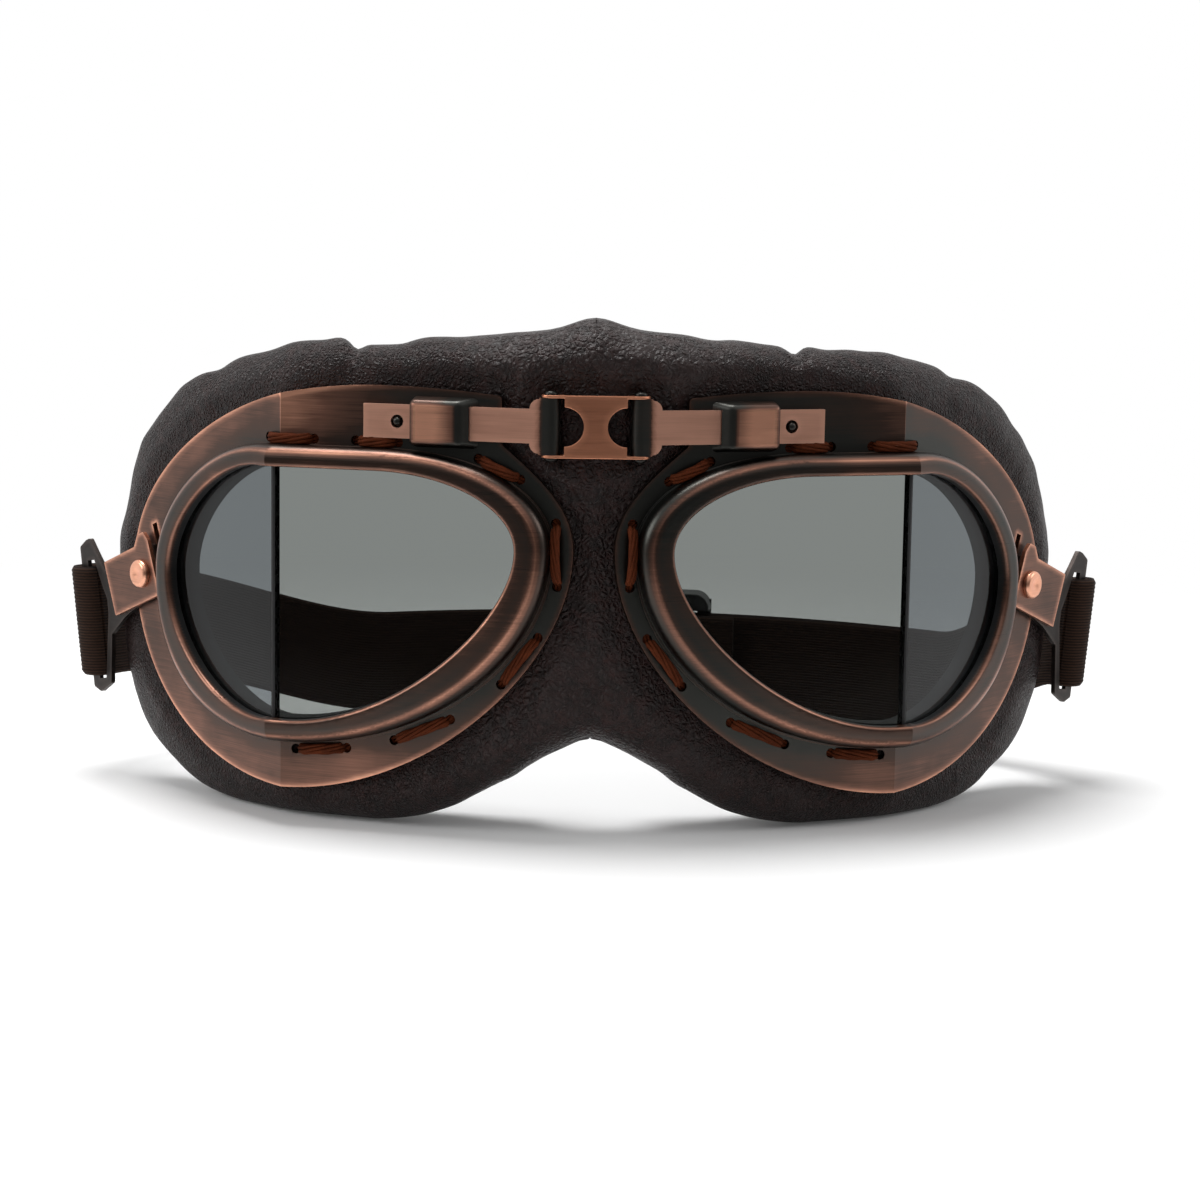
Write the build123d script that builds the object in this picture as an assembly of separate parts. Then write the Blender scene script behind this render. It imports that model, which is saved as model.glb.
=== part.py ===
from build123d import *
import math
import os

# Flying goggles: two folded metal eye frames hinged on a nose bridge, laced to a padded
# leather mask and worn on an elastic strap. Millimetres, +Z up, the lenses face -Y.
# Left and right are as seen from the front, so the right eye is on +X.

# Eye frame: the front leaf runs back from the nose and the side leaf folds back again
leaf_angle = 18.0
fold_turn = 30.0
leaf_length = 58.2
plate_thick = 1.2

# Lens opening, measured from the fold along each leaf, and its height over the table
opening_front = 52.3
opening_side = 33.8
lens_base = 22.0
lens_height = 52.6
top_run = 22.0
bottom_run = 2.0
fold_flat = 1.5
nose_level_share = 0.713
temple_level_share = 0.522
nose_top_shares = (0.56, 0.56)
nose_bottom_shares = (0.37, 0.50)
temple_bottom_shares = (0.50, 0.54)
temple_top_shares = (0.47, 0.47)
nose_top_growth_shares = (0.4, 0.4)
nose_bottom_growth_shares = (1.2, 0.7)
temple_bottom_growth_shares = (1.0, 1.0)
temple_top_growth_shares = (0.3, 0.3)

# Crowned bezel round the opening, with a thin foot flange on the plate
rim_nose = 6.6
rim_top = 4.4
rim_temple = 6.0
rim_bottom = 4.8
rim_height = 5.2
rim_outer_round = 2.9
rim_inner_round = 0.9
flange_out = 0.5
flange_top_out = 0.1
flange_thick = 0.45

# Frame plate round the bezel, measured out from the opening
plate_nose = 11.1
plate_top = 17.1
plate_temple = 19.6
plate_bottom = 15.0
plate_top_shares = (0.50, 0.52)
plate_temple_shares = (0.56, 0.62)
plate_bottom_shares = (0.50, 0.46)
tab_end = 48.0
tab_height = 9.7
tab_drop = 1.4
tab_corner = 0.9
tab_slope = (6.5, 5.4)
tab_rise = 9.5

# Lens panes, their rubber seat and the strip that joins them over the fold
lens_thick = 1.9
lens_overlap = 1.4
seat_thick = 0.6
seat_depth = 4.5
seat_wall = 1.2
strip_width = 1.0
fit_gap = 0.1

# Lace: a leather cord through pairs of holes round the bezel
lace_r = 0.85
lace_hole_r = 1.05
lace_out = 1.9
lace_top_out = 1.25
lace_temple_out = 0.6
lace_lift = 0.1
lace_bend = 1.4
lace_tail = 5.0
lace_sides = 8
lace_hole_shares = (0.991, 0.033, 0.067, 0.101, 0.166, 0.202, 0.245, 0.293, 0.335,
                    0.382, 0.432, 0.481, 0.521, 0.563)

# Nose bridge: hinge pins, link plate and the arms held in clips on the frame plates
pin_spacing = 18.0
pin_r = 0.8
pin_setback = 0.5
pin_head_r = 1.35
pin_head_h = 0.8
bridge_level = 84.6
knuckle_r = 1.9
knuckle_gap = 0.05
knuckle_height = 11.4
lug_thick = 0.6
link_width = 12.6
link_thick = 0.9
link_notch_r = 3.9
arm_thick = 0.9
arm_height = 6.9
arm_end = 18.8
arm_flare = 2.0
stud_place = 26.1
stud_r = 0.9
stud_height = 1.9
stud_hole_r = 1.35
clip_near = 40.5
clip_length = 9.6
clip_wall = 0.5
clip_lift = 3.6
clip_roof = 0.75
clip_round = 1.3

# Strap fixing: bracket and hook plate turning on a rivet at the temple
rivet_out = 48.0
rivet_level = 47.2
rivet_r = 1.5
rivet_head_r = 3.1
rivet_head_h = 1.3
rivet_tail_r = 2.4
rivet_tail_h = 0.8
rivet_gap = 0.05
hook_tilt = 21.0
hook_thick = 1.0
hook_seat = 0.15
bracket_thick = 0.9
bracket_out = 13.3
bracket_in = 5.0
bracket_half = 6.2
bracket_spur = 2.2
bracket_spur_width = 3.4
neck_half = 5.4
neck_reach = 10.5
bar_width = 2.6
bar_top = (20.9, 8.6)
bar_bottom = (26.1, -17.6)
window_root = 16.6
window_half = 3.2
ear_rise = 4.6
ear_width = 3.4
ear_drop = 3.0
branch_width = 3.1
hook_round = 0.7
slot_width = 1.7
slot_length = 6.0

# Elastic strap, standing on edge in an arc behind the mask
strap_width = 25.0
strap_thick = 1.6
strap_back = 130.0
strap_lift = 4.6
strap_wrap = 2.8
strap_gap = 0.6
wrap_run = 24.0
rise_start_left = 46.0
rise_start_right = 84.0
strap_step = 9.0
tail_length = 20.0
wrap_steps = 8

# Three-bar strap slider on the rear of the strap
slider_place = 20.0
slider_width = 24.0
slider_rail = 4.2
slider_slot = 26.2
slider_bar = 3.2
slider_bar_thick = 1.6
slider_side_bar = 3.4
slider_corner = 4.0
slider_clear = 0.3
slider_back_clear = 0.8

# Leather mask: outline seen from the front, and its depth behind the frames at the nose and
# at the temples, which the arc of the face goes through
mask_half = 105.2
mask_level = 48.0
mask_top = 99.8
mask_top_at = 50.0
mask_peak = 106.0
mask_peak_slope = 4.0
mask_foot_out = 72.0
mask_foot_in = 46.0
mask_notch = 19.5
mask_cheek = (13.0, 13.2)
mask_cheek_slope = (9.0, 5.8)
mask_foot_pull = 15.0
mask_shoulder_shares = (0.60, 0.58)
mask_cheek_shares = (0.66, 0.62)
mask_split = 14.0
mask_joint = 0.3
mask_seat = 0.05
mask_edge_share = 0.9757
mask_edge_rise = 4.5
mask_fold_round = 4.5
mask_edge_round = 18.0
mask_round = 2.2
mask_back_round = 1.8
window_margin = 2.6
window_nose_margin = 4.2
groove_half = 1.9
groove_depth = 2.4
bridge_pocket_half = 14.6
bridge_pocket_height = 15.4
bridge_pocket_clear = 0.5
mask_nose_wall = 16.95
mask_temple_wall = 8.35
mask_wall_share = 0.922
pad_thick = 7.0
pad_inset = 5.0
pad_split = 8.5
pad_window = 2.0
pad_round = 2.4

overrun = 200.0

fold_half = math.radians(fold_turn / 2)
front_turn = math.radians(leaf_angle)
side_turn = math.radians(leaf_angle + fold_turn)
pin_x = pin_spacing / 2
front_dir = Vector(math.cos(front_turn), math.sin(front_turn), 0)
front_out = Vector(math.sin(front_turn), -math.cos(front_turn), 0)
side_dir = Vector(math.cos(side_turn), math.sin(side_turn), 0)
side_out = Vector(math.sin(side_turn), -math.cos(side_turn), 0)
fold_point = Vector(pin_x, 0, 0) + front_out * pin_setback + front_dir * leaf_length
front_leaf = Plane(origin=fold_point, x_dir=front_dir, z_dir=front_out)
side_leaf = Plane(origin=fold_point, x_dir=side_dir, z_dir=side_out)
lens_top = seat_thick + lens_thick
mask_wall_reach = mask_half * mask_wall_share
mask_wall_level = fold_point.Y + math.tan(side_turn) * (mask_wall_reach - fold_point.X)
mask_wall_depth = mask_wall_level + mask_temple_wall - mask_nose_wall
back_radius = (mask_wall_reach ** 2 + mask_wall_depth ** 2) / (2 * mask_wall_depth)
face_centre = mask_nose_wall + back_radius
face_radius = back_radius - pad_thick - mask_seat


def front_keep(setback=0.0):
    origin = (-setback, 0, 0)
    return Plane(origin=origin, x_dir=(0, 1, 0), z_dir=(-math.cos(fold_half), 0, math.sin(fold_half)))


def side_keep(setback=0.0):
    origin = (setback, 0, 0)
    return Plane(origin=origin, x_dir=(0, 1, 0), z_dir=(math.cos(fold_half), 0, math.sin(fold_half)))


def on_front(flat, setback=0.0):
    return front_leaf.location * split(flat, bisect_by=front_keep(setback), keep=Keep.TOP)


def on_side(flat, setback=0.0):
    return side_leaf.location * split(flat, bisect_by=side_keep(setback), keep=Keep.TOP)


def folded(flat):
    return on_front(flat) + on_side(flat)


def leaf_point(u, v, h):
    leaf = side_leaf if u > 0 else front_leaf
    return leaf.from_local_coords(Vector(u, v, h))


def slab(face, low, high):
    return Pos(0, 0, low) * extrude(face, amount=high - low, dir=(0, 0, 1))


def toward(start, corner, share):
    return (start[0] + (corner[0] - start[0]) * share, start[1] + (corner[1] - start[1]) * share)


def quarter(start, end, corner, shares):
    return Bezier(start, toward(start, corner, shares[0]), toward(end, corner, shares[1]), end)


def fuller(shares, growth, margin):
    # An outline drawn further out is rounder at its corners
    grown = margin / lens_height
    return (shares[0] + growth[0] * grown, shares[1] + growth[1] * grown)


def eye_edges(nose_out, top_out, temple_out, bottom_out):
    # Round the lens opening, grown by a margin on each side, from the fold towards the nose
    nose = -(opening_front + nose_out)
    temple = opening_side + temple_out
    top = lens_base + lens_height + top_out
    bottom = lens_base - bottom_out
    nose_level = lens_base + nose_level_share * lens_height
    temple_level = lens_base + temple_level_share * lens_height
    nose_top = fuller(nose_top_shares, nose_top_growth_shares, (nose_out + top_out) / 2)
    nose_foot = fuller(nose_bottom_shares, nose_bottom_growth_shares, (nose_out + bottom_out) / 2)
    temple_foot = fuller(temple_bottom_shares, temple_bottom_growth_shares, (temple_out + bottom_out) / 2)
    temple_top = fuller(temple_top_shares, temple_top_growth_shares, (temple_out + top_out) / 2)
    return [
        Line((fold_flat, top), (-top_run, top)),
        quarter((-top_run, top), (nose, nose_level), (nose, top), nose_top),
        quarter((nose, nose_level), (-bottom_run, bottom), (nose, bottom), nose_foot),
        Line((-bottom_run, bottom), (fold_flat, bottom)),
        quarter((fold_flat, bottom), (temple, temple_level), (temple, bottom), temple_foot),
        quarter((temple, temple_level), (fold_flat, top), (temple, top), temple_top),
    ]


def eye_face(nose_out, top_out, temple_out, bottom_out):
    return make_face(eye_edges(nose_out, top_out, temple_out, bottom_out))


def even_eye(margin):
    return eye_face(margin, margin, margin, margin)


def rim_face(out=0.0, top_out=0.0):
    return eye_face(rim_nose + out, rim_top + top_out, rim_temple + out, rim_bottom + out)


def plate_face():
    nose = -(opening_front + plate_nose)
    temple = opening_side + plate_temple
    top = lens_base + lens_height + plate_top
    bottom = lens_base - plate_bottom
    nose_level = lens_base + nose_level_share * lens_height
    temple_level = lens_base + temple_level_share * lens_height
    tab_top = (-tab_end, top - tab_drop)
    tab_foot = (-tab_end, top - tab_drop - tab_height)
    crest = (-top_run, top)
    outline = make_face([
        Bezier(tab_top, ((tab_top[0] + crest[0]) / 2, top), crest),
        quarter(crest, (temple, temple_level), (temple, top), plate_top_shares),
        quarter((temple, temple_level), (0, bottom), (temple, bottom), plate_temple_shares),
        quarter((0, bottom), (nose, nose_level), (nose, bottom), plate_bottom_shares),
        Bezier((nose, nose_level), (nose, nose_level + tab_rise),
               (tab_foot[0] - tab_slope[0], tab_foot[1] - tab_slope[1]), tab_foot),
        Line(tab_foot, tab_top),
    ])
    corner = outline.vertices().sort_by_distance((*tab_top, 0))[0]
    return fillet(corner, tab_corner)


def lace_places():
    line = Wire(eye_edges(rim_nose + lace_out, rim_top + lace_top_out,
                          rim_temple + lace_temple_out, rim_bottom + lace_out))
    return [line.position_at(share) for share in lace_hole_shares]


def frame_plate():
    flat = slab(plate_face() - even_eye(seat_wall + fit_gap), -plate_thick, 0)
    for place in lace_places():
        flat -= Pos(place.X, place.Y, -plate_thick) * Cylinder(lace_hole_r, 3 * plate_thick)
    flat -= Pos(rivet_out, rivet_level, 0) * Cylinder(rivet_r, 3 * plate_thick)
    slot = Pos(rivet_out - bracket_in + slot_width, rivet_level + bracket_half + bracket_spur, 0)
    flat -= slot * Rot(0, 0, -hook_tilt) * Box(slot_width, slot_length, 3 * plate_thick)
    return folded(flat)


def bezel():
    ring = slab(rim_face() - even_eye(0), 0, rim_height)
    top = ring.faces().sort_by(Axis.Z)[-1]
    ring = fillet(top.outer_wire().edges(), rim_outer_round)
    top = ring.faces().sort_by(Axis.Z)[-1]
    inner = top.inner_wires()[0].edges()
    ring = fillet(inner, rim_inner_round)
    ring += slab(rim_face(flange_out, flange_top_out) - even_eye(0), 0, flange_thick)
    ring -= slab(even_eye(lens_overlap + fit_gap), -overrun, lens_top)
    return folded(ring)


def lens_pane(side):
    flat = slab(even_eye(lens_overlap), seat_thick, lens_top)
    return on_side(flat, strip_width / 2) if side else on_front(flat, strip_width / 2)


def lens_strip():
    flat = slab(even_eye(lens_overlap), seat_thick, lens_top)
    whole = folded(flat)
    return whole - lens_pane(False) - lens_pane(True)


def lens_seat():
    wall = slab(even_eye(seat_wall) - even_eye(0), -seat_depth, seat_thick)
    shelf = slab(even_eye(lens_overlap) - even_eye(0), fit_gap / 2, seat_thick)
    return folded(wall + shelf)


def lace():
    holes = lace_places()
    front = lace_r + lace_lift
    back = -plate_thick - lace_r - lace_lift
    route = [leaf_point(holes[0].X + lace_tail, holes[0].Y - lace_lift, back)]
    radii = []
    for number, hole in enumerate(holes):
        levels = (back, front) if number % 2 == 0 else (front, back)
        route += [leaf_point(hole.X, hole.Y, level) for level in levels]
        radii += [lace_bend, lace_bend]
        if number == 0:
            route.append(leaf_point(0, hole.Y, front / math.cos(fold_half) + lace_lift))
            radii.append(2 * lace_bend)
    last = holes[-1]
    route.append(leaf_point(last.X - lace_tail / 2, last.Y + lace_lift, back))
    path = FilletPolyline(*route, radius=radii)
    start = Plane(origin=path @ 0, z_dir=path % 0)
    print("lace length", round(path.length, 1))
    return sweep(start * RegularPolygon(lace_r, lace_sides), path)


def bridge_link():
    front = -knuckle_r
    half_height = knuckle_height / 2 + lug_thick
    plate = Box(link_width, link_thick, 2 * half_height)
    plate = Pos(0, front + link_thick / 2, 0) * plate
    for side in (-1, 1):
        notch = Pos(side * link_width / 2, front, 0) * Rot(90, 0, 0)
        plate -= notch * Cylinder(link_notch_r, 3 * link_thick)
    lug = extrude(SlotCenterToCenter(pin_spacing, 2 * knuckle_r), amount=lug_thick)
    lug -= Pos(0, knuckle_r, 0) * Box(link_width, 2 * knuckle_r, 3 * lug_thick)
    for side in (-1, 1):
        lug -= Pos(side * pin_x, 0, 0) * Cylinder(pin_r, 3 * lug_thick)
    link = plate + Pos(0, 0, half_height - lug_thick) * lug + Pos(0, 0, -half_height) * lug
    return Pos(0, 0, bridge_level) * link


def hinge_pin():
    half = knuckle_height / 2 + lug_thick
    shaft = Cylinder(pin_r, 2 * half)
    head = Cylinder(pin_head_r, pin_head_h, align=(Align.CENTER, Align.CENTER, Align.MIN))
    head = fillet(head.edges().sort_by(Axis.Z)[-1], pin_head_h * 0.8)
    pin = shaft + Pos(0, 0, half) * head + Pos(0, 0, -half) * Rot(180, 0, 0) * head
    return Pos(pin_x, 0, bridge_level) * pin


def bridge_arm():
    # The strip lies over the frame plate, flares at the hinge and is rolled round the pin
    high = knuckle_r - pin_setback
    low = high - arm_thick
    half = arm_height / 2
    flare = knuckle_height / 2
    hinge = -leaf_length
    flare_end = hinge + knuckle_r
    outline = make_face([
        Line((hinge, flare), (flare_end, flare)),
        Line((flare_end, flare), (flare_end, half + arm_flare)),
        RadiusArc((flare_end, half + arm_flare), (flare_end + arm_flare, half), arm_flare),
        Line((flare_end + arm_flare, half), (-arm_end, half)),
        Line((-arm_end, half), (-arm_end, -half)),
        Line((-arm_end, -half), (flare_end + arm_flare, -half)),
        RadiusArc((flare_end + arm_flare, -half), (flare_end, -half - arm_flare), arm_flare),
        Line((flare_end, -half - arm_flare), (flare_end, -flare)),
        Line((flare_end, -flare), (hinge, -flare)),
        Line((hinge, -flare), (hinge, flare)),
    ])
    arm = slab(outline, low, high)
    arm -= Pos(-stud_place, 0, high) * Cylinder(stud_hole_r, 4 * arm_thick)
    roll = Pos(hinge, 0, -pin_setback) * Rot(90, 0, 0)
    arm += roll * Cylinder(knuckle_r, knuckle_height)
    arm -= roll * Cylinder(pin_r + knuckle_gap, 2 * knuckle_height)
    return front_leaf.location * Pos(0, bridge_level, 0) * arm


def arm_clip():
    inner = arm_height + 2 * fit_gap
    base = (Align.MIN, Align.CENTER, Align.MIN)
    block = Box(clip_length, inner + 2 * clip_wall, clip_lift, align=base)
    block = fillet(block.faces().sort_by(Axis.Z)[-1].edges() + block.edges().filter_by(Axis.Z), clip_round)
    block -= Box(3 * clip_length, inner, 2 * (clip_lift - clip_roof))
    return front_leaf.location * Pos(-clip_near, bridge_level, 0) * block


def arm_stud():
    stud = Cylinder(stud_r, stud_height, align=(Align.CENTER, Align.CENTER, Align.MIN))
    stud = fillet(stud.edges().sort_by(Axis.Z)[-1], stud_r * 0.8)
    return front_leaf.location * Pos(-stud_place, bridge_level, 0) * stud


def on_rivet():
    return side_leaf.location * Pos(rivet_out, rivet_level, 0)


def hooked():
    return on_rivet() * Rot(0, 0, -hook_tilt)


def strap_rivet():
    top = hook_seat + hook_thick + bracket_thick + rivet_gap
    base = (Align.CENTER, Align.CENTER, Align.MIN)
    head = Cylinder(rivet_head_r, rivet_head_h, align=base)
    head = fillet(head.edges().sort_by(Axis.Z)[-1], rivet_head_h * 0.7)
    tail = Pos(0, 0, -plate_thick - rivet_tail_h) * Cylinder(rivet_tail_r, rivet_tail_h, align=base)
    shaft = Pos(0, 0, -plate_thick) * Cylinder(rivet_r, plate_thick + top, align=base)
    return on_rivet() * (shaft + Pos(0, 0, top) * head + tail)


def strap_bracket():
    spur_foot = bracket_half
    outline = Polyline(
        (bracket_out, -bracket_half), (bracket_out, bracket_half),
        (bracket_spur_width - bracket_in + bracket_spur, spur_foot),
        (bracket_spur_width - bracket_in, spur_foot + bracket_spur),
        (-bracket_in + bracket_spur / 2, spur_foot + bracket_spur),
        (-bracket_in, spur_foot), (-bracket_in, -bracket_half), close=True)
    low = hook_seat + hook_thick
    plate = slab(make_face(outline), low, low + bracket_thick)
    plate = fillet(plate.edges().filter_by(Axis.Z), hook_round / 2)
    plate -= Cylinder(rivet_r + rivet_gap, overrun)
    return hooked() * plate


def bar_middle():
    along = Vector(bar_top[0] - bar_bottom[0], bar_top[1] - bar_bottom[1], 0).normalized()
    across = Vector(along.Y, -along.X, 0)
    middle = Vector(bar_top[0] + bar_bottom[0], bar_top[1] + bar_bottom[1], 0) * 0.5
    return middle + across * (bar_width / 2), along, across


def strap_hook():
    # A pressed plate: a neck under the bracket spreads into two ears that carry the strap bar
    middle, along, across = bar_middle()
    room = strap_wrap + (strap_thick - bar_width) / 2 + slider_clear
    top = Vector(*bar_top, 0)
    bottom = Vector(*bar_bottom, 0)
    top_in = top - across * room
    bottom_in = bottom - across * room
    ear_tip = top + along * ear_rise
    ear_out = top + across * bar_width + along * (ear_rise - bar_width / 2)
    foot_out = bottom + across * bar_width - along * (ear_drop - bar_width / 2)
    foot_tip = bottom - along * ear_drop
    outline = Polyline(
        (-neck_half, neck_half), (neck_reach, neck_half),
        (window_root - ear_width / 2, neck_half - hook_thick),
        (top_in.X - branch_width / 2, top_in.Y + hook_thick),
        (ear_tip.X - ear_width / 2, ear_tip.Y), (ear_tip.X, ear_tip.Y),
        (ear_out.X, ear_out.Y), (foot_out.X, foot_out.Y), (foot_tip.X, foot_tip.Y),
        (bottom_in.X - branch_width / 2, bottom_in.Y - branch_width / 2),
        (window_root + hook_thick, -window_half - 2 * branch_width),
        (neck_reach, -neck_half - branch_width / 2), (0, -neck_half), (-neck_half, -neck_half), close=True)
    window = Polyline(
        (window_root, -window_half / 2), (window_root + hook_round, window_half / 2),
        (top_in.X, top_in.Y), (top.X, top.Y), (bottom.X, bottom.Y), (bottom_in.X, bottom_in.Y),
        (window_root + hook_round, -window_half - branch_width / 2), close=True)
    plate = slab(make_face(outline), hook_seat, hook_seat + hook_thick)
    plate = fillet(plate.edges().filter_by(Axis.Z), hook_round)
    plate -= slab(make_face(window), -overrun, overrun)
    plate -= Cylinder(rivet_r + rivet_gap, overrun)
    return hooked() * plate


def smooth(value):
    value = min(max(value, 0.0), 1.0)
    return value * value * (3 - 2 * value)


def strap_frame():
    # The hook bar's middle, and its own upward direction, in the part's frame
    middle, along, across = bar_middle()
    level = hook_seat + hook_thick / 2
    place = hooked()
    low = (place * Pos(middle.X, middle.Y, level)).position
    high = (place * Pos(middle.X + along.X, middle.Y + along.Y, level)).position
    return low, high - low


bar_place, bar_up = strap_frame()
strap_rise = strap_back - bar_place.Y
strap_radius = (bar_place.X ** 2 + strap_rise ** 2) / (2 * strap_rise)
strap_centre = strap_back - strap_radius
strap_sweep = math.asin(bar_place.X / strap_radius)
strap_low = strap_lift + strap_width / 2


def strap_spot(turn, offset):
    # A point of the strap's run and the directions along, out and up there
    reach = strap_radius * math.sin(turn)
    start = rise_start_right if turn > 0 else rise_start_left
    climb = smooth((abs(reach) - start) / (bar_place.X - start))
    level = strap_low + (bar_place.Z - strap_low) * climb
    out = Vector(math.sin(turn), math.cos(turn), 0)
    point = Vector(0, strap_centre, 0) + out * (strap_radius + offset) + Vector(0, 0, level)
    lean = Vector(math.copysign(bar_up.X, turn), bar_up.Y, 0) * climb
    up = (Vector(0, 0, 1) + lean).normalized()
    return point, out, up


def spread(turn):
    gap_half = (strap_thick + strap_gap) / 2
    left = (strap_sweep - abs(turn)) * strap_radius
    return gap_half + (strap_wrap - gap_half) * (1 - smooth(left / wrap_run))


def strap_section(point, out, up):
    # A thin upright rectangle across the strap
    side = out * (strap_thick / 2)
    tall = up * (strap_width / 2)
    corners = [point + side + tall, point - side + tall, point - side - tall, point + side - tall]
    return make_face(Polyline(*corners, close=True))


def wrap_sections(side):
    # The half turn round the front of a hook bar, from the outer to the inner run
    turn = side * strap_sweep
    centre, out, up = strap_spot(turn, 0)
    back = Vector(-side * math.cos(turn), side * math.sin(turn), 0)
    found = []
    for step in range(1, wrap_steps):
        swing = math.pi * step / wrap_steps
        spoke = out * math.cos(swing) - back * math.sin(swing)
        found.append(strap_section(centre + spoke * strap_wrap, spoke, up))
    return found


def run_sections(first, last, side):
    # Sections of one run between two turns of the arc, on the outer or the inner side
    count = max(2, math.ceil(abs(last - first) * strap_radius / strap_step))
    found = []
    for step in range(count + 1):
        turn = first + (last - first) * step / count
        point, out, up = strap_spot(turn, side * spread(turn))
        found.append(strap_section(point, out, up))
    return found


def slider_turn():
    return math.asin(slider_place / strap_radius)


def slider_wrap():
    # The end of the inner run turned round the slider's middle bar
    inner = -(strap_thick + strap_gap) / 2
    radius = slider_bar_thick / 2 + slider_clear + strap_thick / 2
    axis = inner - radius
    turn = slider_turn() - (slider_bar - slider_bar_thick) / 2 / strap_radius
    centre, out, up = strap_spot(turn, axis)
    along = Vector(math.cos(turn), -math.sin(turn), 0)
    found = []
    for step in range(0, wrap_steps + 1):
        swing = math.pi * step / wrap_steps
        spoke = out * math.cos(swing) - along * math.sin(swing)
        found.append(strap_section(centre + spoke * radius, spoke, up))
    end, out, up = strap_spot(turn + tail_length / strap_radius, axis - radius)
    found.append(strap_section(end, out * -1, up))
    return found


def elastic_strap():
    left = -strap_sweep
    tail = run_sections(left + tail_length / strap_radius, left, -1)
    main = run_sections(left, strap_sweep, 1)
    stop = slider_turn() + slider_bar / strap_radius
    inner = run_sections(strap_sweep, stop, -1)
    left_wrap = wrap_sections(-1)[::-1]
    return loft(tail + left_wrap + main + wrap_sections(1) + inner + slider_wrap(), ruled=True)


def strap_slider():
    turn = slider_turn()
    gap_half = (strap_thick + strap_gap) / 2
    rail_top = slider_slot / 2 + slider_rail
    front = -gap_half - strap_thick / 2 - slider_clear - slider_bar_thick
    rear = gap_half + strap_thick / 2 + slider_back_clear + slider_bar_thick
    upright = (Align.CENTER, Align.MIN, Align.CENTER)
    body = Pos(0, front, 0) * Box(slider_width, rear - front, 2 * rail_top, align=upright)
    body = fillet(body.edges().filter_by(Axis.Y), slider_corner)
    body = fillet(body.faces().sort_by(Axis.Y)[0].edges(), slider_clear)
    body -= Box(overrun, overrun, slider_slot)
    side_bar = Pos(0, rear - slider_bar_thick, 0) * Box(
        slider_side_bar, slider_bar_thick, 2 * rail_top - slider_rail, align=upright)
    place = (slider_width - slider_side_bar) / 2
    middle = Pos(0, front, 0) * Box(slider_bar, slider_bar_thick, slider_slot + slider_rail, align=upright)
    middle = fillet(middle.edges().filter_by(Axis.Z), slider_bar_thick * 0.45)
    body += Pos(place, 0, 0) * side_bar + Pos(-place, 0, 0) * side_bar + middle
    point, out, up = strap_spot(turn, 0)
    return Pos(point.X, point.Y, slider_slot / 2 + slider_rail) * Rot(0, 0, -math.degrees(turn)) * body


def mask_outline(inset=0.0):
    # The right half of the mask seen from the front, in X and Z, shut on the middle line
    half = mask_half - inset
    top = mask_top - inset
    foot = inset
    cheek = (mask_cheek[0], mask_cheek[1] + inset)
    crest = (mask_top_at, top)
    peak = (0, mask_peak - inset)
    return make_face([
        Bezier(peak, (mask_peak_slope, peak[1]), (2 * mask_split - mask_peak_slope, top + mask_peak_slope),
               (mask_top_at - mask_split, top), crest),
        quarter(crest, (half, mask_level), (half, top), mask_shoulder_shares),
        quarter((half, mask_level), (mask_foot_out, foot), (half, foot), mask_cheek_shares),
        Line((mask_foot_out, foot), (mask_foot_in, foot)),
        Bezier((mask_foot_in, foot), (mask_foot_in - mask_foot_pull, foot),
               (cheek[0] + mask_cheek_slope[0], cheek[1] - mask_cheek_slope[1]), cheek),
        Bezier(cheek, (cheek[0] / 2, mask_notch + inset), (0, mask_notch + inset)),
        Line((0, mask_notch + inset), peak),
    ])


def upright(face):
    # Stand a face drawn in X and Z upright, and draw it out through the whole depth
    standing = Plane.XZ.location * face
    return extrude(standing, amount=overrun, both=True)


def back_wall(gap):
    return Pos(0, face_centre, 0) * Cylinder(face_radius + gap, 2 * overrun)


def corner_at(plan, place):
    return [v for v in plan.vertices() if abs(v.X - place.X) + abs(v.Y - place.Y) < mask_seat]


def mask_plan():
    # The mask seen from above: its front lies behind both leaves of the frame plate
    seat = -plate_thick - mask_seat
    nose = front_leaf.from_local_coords(Vector(-leaf_length, 0, seat))
    bend = seat * math.tan(fold_half)
    corner = front_leaf.from_local_coords(Vector(bend, 0, seat))
    reach = (mask_half * mask_edge_share - fold_point.X) / side_dir.X
    edge = side_leaf.from_local_coords(Vector(reach, 0, seat))
    rim = (mask_half, edge.Y + mask_edge_rise)
    line = Polyline((0, nose.Y), (nose.X, nose.Y), (corner.X, corner.Y), (edge.X, edge.Y), rim,
                    (mask_half, face_centre), (0, face_centre), close=True)
    plan = fillet(corner_at(make_face(line), corner), mask_fold_round)
    return fillet(corner_at(plan, edge), mask_edge_round)


def rim_edges(shell, face, reach):
    # The edges round the outline of a padded piece, at its front or at its back
    rim = face.faces()[0].outer_wire()
    found = []
    for edge in shell.edges():
        middle = edge @ 0.5
        on_rim = rim.distance_to(Vector(middle.X, middle.Z, 0)) < mask_seat
        far = math.hypot(middle.X, middle.Y - face_centre)
        at_back = abs(far - reach) < mask_seat
        along = abs((edge % 0.5).Y) > 1 - mask_seat / pad_thick
        if on_rim and middle.X > mask_seat and not along:
            found.append((edge, at_back))
    return [e for e, back in found if back], [e for e, back in found if not back]


def padded_shell():
    face = mask_outline()
    plan = extrude(mask_plan(), amount=overrun)
    shell = upright(face) & plan - back_wall(pad_thick + mask_seat)
    shell = fillet(rim_edges(shell, face, back_radius)[1], mask_round)
    return fillet(rim_edges(shell, face, back_radius)[0], mask_back_round)


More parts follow.
